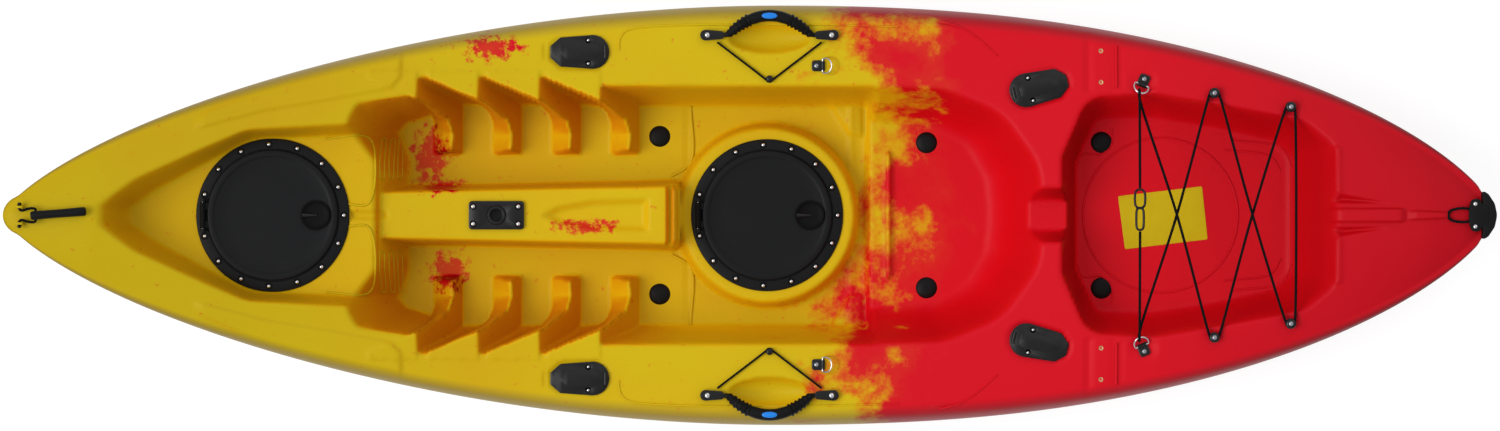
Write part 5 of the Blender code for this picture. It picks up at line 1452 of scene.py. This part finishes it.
@dataclass
class Hatch:
    """A round hatch: ring, lid with its hinge, latch knob and ring screws."""

    label: str
    x: float
    floor: float
    finishes: Finishes
    ring_radius: float = 0.140
    ring_height: float = 0.0045
    lid_radius: float = 0.1185
    seal_height: float = 0.003
    screw_circle: float = 0.1296
    screw_count: int = 15
    screw_gap: float = 34.0
    hinge_offset: float = 0.127
    hinge_half: float = 0.024
    knuckle: float = 0.0053
    knob_offset: float = 0.0785
    knob_radius: float = 0.027

    @property
    def base(self) -> float:
        """Height of the ring's foot."""
        return self.floor + SEAT_GAP

    @property
    def top(self) -> float:
        """Height of the ring's top."""
        return self.base + self.ring_height

    @property
    def under(self) -> float:
        """Height of the lid's underside."""
        return self.top + 2 * SEAT_GAP + self.seal_height

    def ring(self) -> None:
        """The flange with its throat and the two hinge ears."""
        h, r = self.ring_height, self.ring_radius
        shapes = [lathe([
            (0.104, h), (0.104, -0.010), (0.1105, -0.010), (0.1105, 0), (r, 0), (r, 0.0020), (r - 0.0012, 0.0036),
            (r - 0.0035, h), (r - 0.0185, h), (r - 0.0195, h - 0.0009), (r - 0.0205, h - 0.0009), (r - 0.0215, h),
        ], (self.x, 0, self.base), 96, True)]
        axis_z = self.top + SEAT_GAP + self.knuckle
        for side in Side:
            near = side.value * (self.hinge_half + SEAT_GAP)
            far = side.value * (self.hinge_half + SEAT_GAP + 0.006)
            hinge_x = self.x - self.hinge_offset
            shapes.append(rod((hinge_x, near, axis_z), (hinge_x, far, axis_z), self.knuckle))
            foot = self.top - MM
            middle = (hinge_x, (near + far) / 2, (axis_z + foot) / 2)
            shapes.append(block((0.0100, 0.006, axis_z - foot), middle, 0.0004))
        node = f"{self.label}_hatch_ring"
        stand_in(joined(*shapes), node, self.finishes.hatch, 28)

    def lid(self) -> None:
        """The dished lid and its dark hinge."""
        r, lip = self.lid_radius, self.under - self.top - 2 * SEAT_GAP
        node, body = f"{self.label}_hatch_lid", f"{self.label}_lid"
        shape = lathe([
            (0, 0.0036), (0.040, 0.0034), (0.080, 0.0030), (0.1045, 0.0028), (0.1062, 0.0031), (0.1078, 0.0041),
            (0.1092, 0.0044), (0.1160, 0.0043), (0.1175, 0.0039), (r, 0.0026), (r, -lip), (r - 0.003, -lip),
            (r - 0.0035, 0), (0, 0),
        ], (self.x, 0, self.under), 96)
        stand_in(shape, node, self.finishes.hatch, 28, body)
        hinge_x, axis_z = self.x - self.hinge_offset, self.top + SEAT_GAP + self.knuckle
        arm_end = self.x - math.sqrt(r**2 - self.hinge_half**2) + 0.006
        shapes = [rod((hinge_x, -self.hinge_half, axis_z), (hinge_x, self.hinge_half, axis_z), self.knuckle)]
        for side in Side:
            middle = ((arm_end + hinge_x) / 2, side.value * 0.0165, self.under + 0.0022)
            shapes.append(block((arm_end - hinge_x, 0.013, 0.003), middle, 0.0007))
        piece(joined(*shapes), f"{self.label}_hatch_hinge", self.finishes.deep, body)

    def knob(self) -> None:
        """The dished latch knob with its finger ridge, shaft and tongue."""
        x, z, r = self.x + self.knob_offset, self.under + 0.003 + SEAT_GAP, self.knob_radius
        foot = self.base - 0.0135 - z
        dish = lathe([
            (0, 0.0014), (0.0150, 0.0014), (0.0205, 0.0022), (0.0238, 0.0041), (0.0248, 0.0050), (0.0258, 0.0050),
            (0.0267, 0.0043), (r, 0.0030), (r, 0.0012), (0.006, 0.0012), (0.006, foot), (0, foot),
        ], (x, 0, z), 64)
        ridge = bmesh.new()
        bmesh.ops.create_cone(ridge, cap_ends=True, segments=14, radius1=0.0060, radius2=0.0022, depth=0.027)
        bmesh.ops.scale(ridge, vec=(1, 0.9, 1), verts=ridge.verts)
        moved(ridge, Matrix.Rotation(math.pi / 2, 3, "Y"), (x - 0.0105, 0, z + 0.0016))
        tongue = block((0.013, 0.036, 0.004), (x, 0.012, self.base - 0.0125), 0.0008)
        node, body = f"{self.label}_hatch_knob", f"{self.label}_knob"
        piece(joined(dish, tongue), f"{node}_dish", self.finishes.deep, body, (node,), 30)
        piece(ridge, f"{node}_ridge", self.finishes.plastic, body, (), 30)

    def screws(self) -> None:
        """The ring screws, each on a thin deep black disc of painted shade."""
        step = (360 - self.screw_gap) / (self.screw_count - 1)
        screws, shade_rings = [], []
        for k in range(self.screw_count):
            a = math.radians(-180 + self.screw_gap / 2 + step * k)
            place = (self.x + self.screw_circle * math.cos(a), self.screw_circle * math.sin(a), self.top)
            shade_rings.append(washer(place))
            screws.append(screw((place[0], place[1], self.top + 0.0006)))
        piece(joined(*shade_rings), f"{self.label}_hatch_washers", self.finishes.deep)
        heads(screws, f"{self.label}_hatch_screws", self.finishes.steel)

    def build(self) -> None:
        """Make every piece of the hatch."""
        self.ring()
        self.lid()
        self.knob()
        self.screws()


@dataclass
class RodHolder:
    """A flush rod holder: flange with its blind tube, hinged cap and two screws."""

    label: str
    side: Side
    x: float
    y: float
    heading: float
    finishes: Finishes
    thick: float = 0.004
    bore: float = 0.0205
    tube: float = 0.0230
    depth: float = 0.165
    tilt: float = 14.0
    screw_place: tuple[float, float] = (-0.0250, 0.0212)

    def outline(self, inset: float = 0.0) -> Flat:
        """The flange's outline: round at one end, with a narrow tab at the other."""
        r = 0.033 - inset
        half = [(-0.063 + inset, r, r), (0.026 - inset * 0.5, 0.0265 - inset, 0.007),
                (0.044 - inset, 0.0105 - inset * 0.6, 0.003)]
        return soft_flat(mirrored(half), 9)

    def placed(self, points: Flat) -> Flat:
        """The outline on the deck."""
        return turned_flat(points, self.heading, self.x, self.y, self.side.value)

    @property
    def name(self) -> str:
        """The start of its nodes' names."""
        return f"{self.label}_{self.side.word}"

    @property
    def top(self) -> float:
        """Height of the flange's top."""
        return low_of(f"{self.name}_rod_cap") - SEAT_GAP

    def mouth(self) -> tuple[float, float]:
        """The middle of the tube's mouth."""
        return self.placed([(-0.022, 0)])[0]

    def flange(self) -> None:
        """The flange and the tube below it."""
        hole = self.placed(round_flat(-0.022, 0, self.bore + 0.0005))
        shape = plate([self.placed(self.outline()), hole], self.top - self.thick, self.top, 0.0009)
        lean = Vector(self.placed([(-1, 0)])[0]) - Vector(self.placed([(0, 0)])[0])
        tilt = math.radians(self.tilt)
        down = Vector((lean.x * math.sin(tilt), lean.y * math.sin(tilt), -math.cos(tilt)))
        cup = lathe([
            (self.bore, 0.03), (self.bore, -self.depth + 0.004), (0, -self.depth + 0.003), (0, -self.depth),
            (self.tube, -self.depth), (self.tube, 0.03),
        ], (0, 0, 0), 32)
        moved(cup, (-down).to_track_quat("Z", "Y").to_matrix(), (*self.mouth(), self.top))
        bmesh.ops.bisect_plane(cup, geom=cup.verts[:] + cup.edges[:] + cup.faces[:], plane_co=(0, 0, self.top - 0.0008),
                               plane_no=(0, 0, 1), clear_outer=True)
        rims = [e for e in cup.edges if e.is_boundary]
        bmesh.ops.bridge_loops(cup, edges=rims)
        bmesh.ops.recalc_face_normals(cup, faces=cup.faces)
        node = f"{self.name}_rod_holder"
        stand_in(joined(shape, cup), node, self.finishes.plastic, 30)

    def cap(self) -> None:
        """The hinged cap with its sunk panel, notched round the screws."""
        u, v = self.screw_place
        limit = -0.0562
        outline = [(max(px, limit), py) for px, py in self.outline(0.003)]
        trimmed = [p for k, p in enumerate(outline) if k == 0 or p[0] > limit or outline[k - 1][0] > limit
                   or outline[(k + 1) % len(outline)][0] > limit]
        holes = [round_flat(u, s * v, 0.0056, 20) for s in (1, -1)]
        low = self.top + SEAT_GAP
        shape = plate([self.placed(trimmed), *(self.placed(h) for h in holes)], low, low + 0.0040, 0.0010)
        inner = self.placed([(0.72 * px - 0.004, 0.56 * py) for px, py in trimmed])
        panel = plate([inner], low + 0.003, low + 0.0045, 0.0005)
        hinge = [(*self.placed([(limit, s * 0.0108)])[0], low + 0.0035) for s in (1, -1)]
        node = f"{self.name}_rod_cap"
        cap = joined(shape, panel, rod(*hinge, 0.0034, 16))
        stand_in(cap, node, self.finishes.plastic, 30, f"{self.name}_cap")

    def screws(self) -> None:
        """The two screws through the flange and the hinge's ears."""
        u, v = self.screw_place
        screws = [screw((*self.placed([(u, s * v)])[0], self.top), 0.0036, 0.0030) for s in (1, -1)]
        heads(screws, f"{self.name}_holder_screws", self.finishes.steel)

    def build(self) -> None:
        """Make every piece of the holder."""
        self.flange()
        self.cap()
        self.screws()


@dataclass
class AccessoryMount:
    """The mount plate on the console with its socket and four screws."""

    finishes: Finishes
    size: tuple[float, float, float] = (0.101, 0.052, 0.006)
    base: float = 0.2183
    socket: float = 0.012
    collar: float = 0.0175
    cup: float = 0.0155
    depth: float = 0.028

    def build(self) -> None:
        """Make the plate, its socket and its screws."""
        half_x, half_y, top = self.size[0] / 2, self.size[1] / 2, self.base + self.size[2]
        corners = [(MOUNT_X + i * half_x, j * half_y, 0.006) for i, j in ((-1, -1), (1, -1), (1, 1), (-1, 1))]
        outline = soft_flat(corners, 6)
        shape = plate([outline, round_flat(MOUNT_X, 0, self.cup - 0.001)], self.base, top, 0.0014)
        inside, below = -self.depth + 0.002, -self.depth - 0.001
        well = lathe([
            (self.socket, 0.0035), (self.socket, inside), (0, inside), (0, below), (self.cup, below),
            (self.cup, -0.001), (self.collar, -0.001), (self.collar, 0.0024),
            (self.collar - 0.0012, 0.0038), (self.socket + 0.0010, 0.0040),
        ], (MOUNT_X, 0, top), 48, True)
        bmesh.ops.remove_doubles(well, verts=well.verts, dist=1e-6)
        stand_in(joined(shape, well), "accessory_mount", self.finishes.plastic, 30)
        places = [(x, y, top) for x in (-0.5070, -0.4245) for y in (0.0160, -0.0157)]
        # Painted shade: thin deep black discs under the mount's screws.
        piece(joined(*(washer(p, 0.0064) for p in places)), "accessory_mount_washers", self.finishes.deep)
        screws = [screw((x, y, z + 0.0006), 0.0042) for x, y, z in places]
        heads(screws, "accessory_mount_screws", self.finishes.steel)


@dataclass
class CarryHandle:
    """A side carry handle: ribbed grip with its inlay, two end pads and the keeper's hook."""

    side: Side
    finishes: Finishes
    x: float = HANDLE_X
    y: float = HANDLE_Y
    spread: float = 0.1045
    pad: tuple[float, float, float] = (0.043, 0.021, 0.010)
    reach: float = 0.0345
    ribs: int = 6
    ribbed: tuple[float, float] = (0.44, 0.94)
    rib_rise: float = 0.24

    def grip(self) -> None:
        """The bowed grip, ribbed towards its ends."""
        axis_z = low_of(f"{self.side.word}_bow_handle_pad") + 0.006
        half, out, lift = self.spread - self.pad[0] / 2, self.y + self.reach, axis_z + 0.0075
        route = [
            (-half - 0.008, self.y, axis_z), (-half + 0.001, self.y, axis_z),
            (-half + 0.010, self.y + 0.003, axis_z + 0.001), (-half + 0.024, self.y + 0.014, lift - 0.001),
            (-0.036, out - 0.0070, lift), (-0.012, out, lift),
        ]
        route += [(-px, py, pz) for px, py, pz in reversed(route)]
        line = eased([(self.x + px, self.side.value * py, pz) for px, py, pz in route], 0.0014)
        shares, sizes = zip((0, 0.0107), (0.30, 0.0104), (0.62, 0.0092), (0.80, 0.0076), (0.93, 0.0050),
                            (1.0, 0.0035), (1.2, 0.0033))
        (first, last), radii = self.ribbed, []
        for point in line:
            u = abs(point.x - self.x) / half
            phase = (u - first) / (last - first) * self.ribs
            rib = self.rib_rise * (0.5 + 0.5 * math.tanh(6 * math.sin(2 * math.pi * phase)))
            radii.append(float(np.interp(u, shares, sizes)) * (1 + rib if first < u < last else 1))
        name, body = f"{self.side.word}_carry_handle", f"{self.side.word}_handle"
        grip = sweep(line, 0.008, 18, radii=radii, flat=0.92)
        piece(grip, f"{name}_grip", self.finishes.rubber, body, (name,), 40)
        inlay = bmesh.new()
        bmesh.ops.create_uvsphere(inlay, u_segments=32, v_segments=12, radius=1)
        bmesh.ops.scale(inlay, vec=(0.0145, 0.0056, 0.0022), verts=inlay.verts)
        bmesh.ops.translate(inlay, vec=(self.x, self.side.value * (out + 0.0003), lift + 0.0090), verts=inlay.verts)
        piece(inlay, f"{name}_inlay", self.finishes.blue, body)

    def pads(self) -> None:
        """The end pads with their screws."""
        length, width, _ = self.pad
        for end, word in ((-1, "bow"), (1, "stern")):
            node = f"{self.side.word}_{word}_handle_pad"
            low, high = low_of(node), high_of(node)
            half = [(-length / 2, width / 2, 0.0103), (length / 2, 0.0070, 0.005)]
            turn, x = 0 if end < 0 else 180, self.x + end * self.spread
            outline = turned_flat(soft_flat(mirrored(half), 7), turn, x, self.y)
            outline = [(px, self.side.value * py) for px, py in outline]
            stand_in(plate([outline], low, high, 0.0038, 4), node, self.finishes.plastic, 60)
            place = (self.x + end * (self.spread + 0.0085), self.side.value * self.y, high - 0.0006)
            heads([screw(place, 0.0052, 0.0030, 24)], f"{node}_screw", self.finishes.steel)

    def hook(self) -> None:
        """The hook that the keeper cord passes round."""
        node = f"{self.side.word}_paddle_hook"
        shape = lathe([
            (0, 0.0110), (0.0030, 0.0110), (0.0052, 0.0102), (0.0062, 0.0088), (0.0060, 0.0076), (0.0034, 0.0064),
            (0.0032, 0.0056), (0.0032, 0.0022), (0.0042, 0.0014), (0.0065, 0.0011), (0.0065, 0), (0, 0),
        ], (self.x, self.side.value * HOOK_Y, low_of(node)), 28)
        stand_in(shape, node, self.finishes.plastic, 40)

    def build(self) -> None:
        """Make every piece of the handle."""
        self.grip()
        self.pads()
        self.hook()


@dataclass
class RingFitting:
    """A D-ring in its screwed pad."""

    label: str
    side: Side
    x: float
    y: float
    turn: float
    lift: float
    finishes: Finishes
    pad: tuple[float, float, float] = (0.024, 0.020, 0.003)
    wire: float = 0.0015
    bar: float = 0.0125
    arch: float = 0.0135
    drop: float = 0.006

    def placed(self, points: Flat) -> Flat:
        """Points of the pad's own plan, whose ring points towards -Y before it is turned."""
        return turned_flat(points, self.turn, self.x, self.y, self.side.value)

    def build(self) -> None:
        """Make the pad, its screw and the ring."""
        length, width, thick = self.pad
        name = f"{self.label}_{self.side.word}"
        base = low_of(f"{name}_ring_pad")
        half, end = width / 2, length / 2
        corners = [(-half, -end, 0.003), (half, -end, 0.003), (half, end, 0.005), (-half, end, 0.005)]
        outline = self.placed(soft_flat(corners, 5))
        bar_y, axis_z = -length / 2 + 0.004, base + thick + 0.0005
        ends = [(*self.placed([(s * (width / 2 - 0.002), bar_y)])[0], axis_z) for s in (1, -1)]
        shapes = joined(plate([outline], base, base + thick, 0.0009), rod(*ends, 0.0035, 20))
        stand_in(shapes, f"{name}_ring_pad", self.finishes.plastic, 35)
        head = (*self.placed([(0, 0.0035)])[0], base + thick)
        heads([screw(head, 0.0044, 0.0016, 20)], f"{name}_ring_pad_screw", self.finishes.dull_steel)
        plan = [(-self.bar, 0.0), (0.0, 0.0), (self.bar, 0.0)]
        turns = [math.radians(-15 * k) for k in range(13)]
        plan += [(self.arch * math.cos(a), -self.drop + self.arch * math.sin(a)) for a in turns]
        lift = math.radians(self.lift)
        run = []
        for px, py in plan:
            flat = self.placed([(px, bar_y + py * math.cos(lift))])[0]
            run.append((*flat, axis_z - py * math.sin(lift)))
        body = f"front_{self.side.word}_ring" if self.label == "front" else ROOT
        shape = sweep(eased(run, 0.0018, True), self.wire, 12, True)
        piece(shape, f"{name}_d_ring_wire", self.finishes.steel, body, (f"{name}_d_ring",), 60)


@dataclass
class TankFittings:
    """The bungee's buttons and clip, and the plain tag on the tank well's floor."""

    finishes: Finishes
    tag_corners: tuple = ((0.6755, 0.0350), (0.8300, 0.0532), (0.8404, -0.0443), (0.6884, -0.0625))
    tag_z: float = 0.1652

    def build(self) -> None:
        """Make the buttons, the clip and the tag."""
        screws = []
        for label, (x, y) in BUTTONS.items():
            for side in Side:
                node = f"{label}_{side.word}_bungee_button"
                low = low_of(node)
                shape = lathe([
                    (0, 0.0165), (0.0050, 0.0165), (0.0078, 0.0160), (0.0091, 0.0150), (0.0095, 0.0138),
                    (0.0090, 0.0131), (0.0048, 0.0128), (0.0045, 0.0122), (0.0045, 0.0044), (0.0060, 0.0031),
                    (0.0095, 0.0024), (0.0095, 0), (0, 0),
                ], (x, side.value * y, low), 32)
                stand_in(shape, node, self.finishes.plastic, 40)
                screws.append(screw((x, side.value * y, low + 0.0164), 0.0044, 0.0014, 20))
        heads(screws, "bungee_button_screws", self.finishes.dull_steel)
        high = cord_height("middle")
        loops = []
        for low, top, half in ((0.0126, 0.047, 0.009), (-0.027, 0.0137, 0.0063)):
            ends = [(low + half, 180), (top - half, 0)]
            turns = [(y, math.radians(first + 30 * k)) for y, first in ends for k in range(7)]
            oval = [(CLIP_X + half * math.cos(a), y + half * math.sin(a), high) for y, a in turns]
            loops.append(sweep(eased(oval, 0.0025, True), CLIP_WIRE, 12, True))
        stand_in(joined(*loops), "bungee_clip", self.finishes.plastic, 60)
        tag = plate([soft_flat([(*c, 0.003) for c in self.tag_corners], 4)], self.tag_z, self.tag_z + 0.0006, 0.0002)
        piece(tag, "plain_tank_tag", self.finishes.tag, ROOT)


@dataclass
class Drains:
    """The scupper tubes through the hull and the plugs in them."""

    finishes: Finishes
    hole: float = 0.016

    def build(self) -> None:
        """Make every tube and plug."""
        tubes = []
        for label, (x, y, floor) in SCUPPERS.items():
            for side in Side:
                centre = (x, side.value * y, floor)
                tubes.append(lathe([
                    (self.hole - 0.0003, 0.0012), (self.hole - 0.0003, -floor + 0.0025),
                    (self.hole + 0.004, -floor + 0.0045), (self.hole + 0.004, -0.0045), (self.hole + 0.0055, -0.0008),
                ], centre, 32, True))
                node = f"{label}_{side.word}_scupper_plug"
                top = high_of(node)
                shape = lathe([
                    (0, 0), (0.0070, -0.0002), (0.0125, -0.0010), (0.0170, -0.0024), (0.0194, -0.0042),
                    (0.0200, -0.0056), (0.0198, -0.0060), (0.0155, -0.0060), (0.0150, -0.0180), (0.0140, -0.0279),
                    (0, -0.0279),
                ], (centre[0], centre[1], top), 40)
                stand_in(shape, node, self.finishes.rubber, 50, f"{label}_{side.word}_plug")
        piece(joined(*tubes), "scupper_tubes", self.finishes.hull, ROOT, (), 40)


@dataclass
class Inserts:
    """The threaded brass inserts in the side decks."""

    finishes: Finishes
    places: tuple = (("inner", 0.637, 0.2414), ("outer", 0.637, 0.2985))

    def build(self) -> None:
        """Make the four inserts."""
        for label, x, y in self.places:
            for side in Side:
                node = f"{label}_{side.word}_insert"
                top = high_of(node)
                shape = lathe([
                    (0.0019, -0.0002), (0.0024, 0.0), (0.0040, 0.0), (0.0045, -0.0005), (0.0045, -0.0012),
                    (0.0030, -0.0012), (0.0030, -0.0132), (0.0019, -0.0132),
                ], (x, side.value * y, top), 24, True)
                piece(shape, f"{node}_turning", self.finishes.brass, ROOT, (node,), 35)


@dataclass
class EndHandles:
    """The bow toggle with its moulded eyes, and the stern handle with its two screws."""

    finishes: Finishes

    def toggle(self) -> None:
        """The toggle's grip, its cord's stops and the eyes on the bow."""
        low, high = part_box("bow_toggle_grip")
        slope = math.atan2(high[2] - low[2] - 0.016, 0.100)
        shape = lathe([
            (0, 0.1000), (0.0050, 0.1000), (0.0070, 0.0990), (0.0080, 0.0965), (0.0079, 0.0800), (0.0074, 0.0500),
            (0.0078, 0.0200), (0.0080, 0.0040), (0.0072, 0.0012), (0.0055, 0), (0, 0),
        ], (0, 0, 0), 28)
        turn = Matrix.Rotation(math.radians(4.5), 3, "Z") @ Matrix.Rotation(math.pi / 2 + slope, 3, "Y")
        moved(shape, turn, (low[0] + 0.001, -0.0008, high[2] - 0.0082))
        stand_in(shape, "bow_toggle_grip", self.finishes.rubber, 50, "bow_toggle")
        stops = []
        for side in Side:
            knot = bmesh.new()
            bmesh.ops.create_uvsphere(knot, u_segments=16, v_segments=10, radius=0.0040)
            bmesh.ops.translate(knot, vec=(TOGGLE_X, side.value * 0.0195, TOGGLE_Z), verts=knot.verts)
            stops.append(knot)
        piece(joined(*stops), "bow_toggle_stops", self.finishes.rubber, "bow_toggle")
        eyes = []
        for side in Side:
            corners = [(-0.006, 0.005, 0.003), (0.006, 0.005, 0.003), (0.008, -0.015, 0.001), (-0.008, -0.015, 0.001)]
            eye = plate([soft_flat(corners, 4), round_flat(0, 0, 0.0028, 16)], -0.002, 0.002, 0.0006)
            place = (TOGGLE_X, side.value * 0.015, TOGGLE_Z)
            eyes.append(moved(eye, Matrix.Rotation(math.pi / 2, 3, "X"), place))
        piece(joined(*eyes), "bow_eyes", self.finishes.hull, ROOT)

    def stern(self) -> None:
        """The stern handle's pad, its crescent round the stern and its screws."""
        low, high = low_of("stern_handle"), high_of("stern_handle")
        deck = high - 0.006
        crescent = [
            (1.3225, 0.0455, 0.004), (1.3340, 0.0385, 0.012), (1.3455, 0.0210, 0.02), (1.3499, 0.0, 0.03),
            (1.3455, -0.0210, 0.02), (1.3340, -0.0385, 0.012), (1.3225, -0.0455, 0.004), (1.3240, -0.0250, 0.02),
            (1.3235, 0.0, 0.04), (1.3240, 0.0250, 0.02),
        ]
        wrap = plate([soft_flat(crescent, 5)], low, high - 0.001, 0.0030, 3)
        pad = [
            (1.2988, 0.0130, 0.004), (1.3035, 0.0290, 0.009), (1.3170, 0.0300, 0.009), (1.3245, 0.0180, 0.006),
            (1.3340, 0.0170, 0.003),
        ]
        top = plate([soft_flat(mirrored(pad), 6)], deck - 0.001, high, 0.0018, 3)
        stand_in(joined(wrap, top), "stern_handle", self.finishes.rubber, 50)
        places = [(1.3100, s * 0.0204, high) for s in (1, -1)]
        screws = [screw((x, y, z - 0.0004), 0.0042, 0.0026, 24) for x, y, z in places]
        heads(screws, "stern_handle_screws", self.finishes.steel)

    def build(self) -> None:
        """Make both ends' fittings."""
        self.toggle()
        self.stern()


# The studio


@dataclass
class Studio:
    """The floor, the lamps and the camera over the kayak."""

    width_m: float = 2.729
    camera_rise: float = 10.0
    gunwale: float = 0.270
    centre: tuple[float, float] = (-0.0009, -0.0005)
    floor_half: float = 14.0
    floor_grey: float = 0.30
    floor_glow: float = 0.80
    world_light: float = 0.50

    def camera(self) -> None:
        """Hang the camera over the middle of the hull, looking straight down."""
        lens = bpy.data.cameras.new("overhead_camera")
        lens.sensor_width = 36
        lens.lens = 36 * self.camera_rise / self.width_m
        lens.clip_end = 50
        made = bpy.data.objects.new("overhead_camera", lens)
        made.location = (*self.centre, self.gunwale + self.camera_rise)
        bpy.context.scene.collection.objects.link(made)
        bpy.context.scene.camera = made

    def floor(self) -> None:
        """Lay the pale floor."""
        bm = bmesh.new()
        bmesh.ops.create_grid(bm, x_segments=1, y_segments=1, size=self.floor_half)
        mesh = bpy.data.meshes.new("studio_floor")
        bm.to_mesh(mesh)
        bm.free()
        floor = bpy.data.objects.new("studio_floor", mesh)
        bpy.context.scene.collection.objects.link(floor)
        n = Nodes("pale_floor")
        path = n.node("LightPath")
        seen = n.math("MAXIMUM", path.outputs["Is Camera Ray"], path.outputs["Is Glossy Ray"])
        mesh.materials.append(n.shade({
            "Base Color": (self.floor_grey,) * 3 + (1,), "Roughness": 0.9, "Emission Color": (1, 1, 1, 1),
            "Emission Strength": n.math("MULTIPLY", seen, self.floor_glow),
        }))

    def lamps(self) -> None:
        """Hang the soft lamps and set the world."""
        for name, aim, spread, power in (
            ("bow_softbox", (0.62, 0.10, -0.78), 38.0, 1.75),
            ("side_softbox", (-0.30, -0.55, -0.78), 60.0, 0.45),
        ):
            lamp = bpy.data.lights.new(name, "SUN")
            lamp.angle = math.radians(spread)
            lamp.energy = power
            made = bpy.data.objects.new(name, lamp)
            made.location = (0, 0, 3)
            made.rotation_euler = Vector(aim).to_track_quat("-Z", "Y").to_euler()
            bpy.context.scene.collection.objects.link(made)
        world = bpy.data.worlds.new("studio_world")
        world.use_nodes = True
        light = world.node_tree.nodes["Background"].inputs
        light["Color"].default_value, light["Strength"].default_value = (1, 1, 1, 1), self.world_light
        bpy.context.scene.world = world

    def build(self) -> None:
        """Set up the camera, the floor and the lamps."""
        self.camera()
        self.floor()
        self.lamps()
        bpy.context.scene.view_settings.view_transform = "Standard"


def main() -> None:
    """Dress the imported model."""
    logging.basicConfig(level=logging.INFO, format="%(name)s %(message)s")
    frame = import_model()
    Studio().build()
    finishes = Finishes()
    slots = {entry["node"]: entry["material_slot"] for entry in frame["record"]["subparts"]}
    for name, obj in frame["nodes"].items():
        for held in obj.material_slots:
            held.material = finishes.of(Slot(slots[name]))
    Cords(finishes).build()
    holders = [
        RodHolder(label, side, x, y, heading, finishes)
        for label, x, y, heading in (("front", -0.320, 0.297, 180.0), ("rear", 0.533, 0.2345, 13.0))
        for side in Side
    ]
    Hull(finishes, HullForm(), holders).build()
    for label, (x, floor) in HATCHES.items():
        Hatch(label, x, floor, finishes).build()
    for holder in holders:
        holder.build()
    AccessoryMount(finishes).build()
    for side in Side:
        CarryHandle(side, finishes).build()
        RingFitting("front", side, *RINGS["front"], 90.0, 35.0, finishes).build()
        RingFitting("rear", side, *RINGS["rear"], -22.0, 38.0, finishes).build()
    TankFittings(finishes).build()
    Drains(finishes).build()
    Inserts(finishes).build()
    EndHandles(finishes).build()


if __name__ == "__main__":
    main()
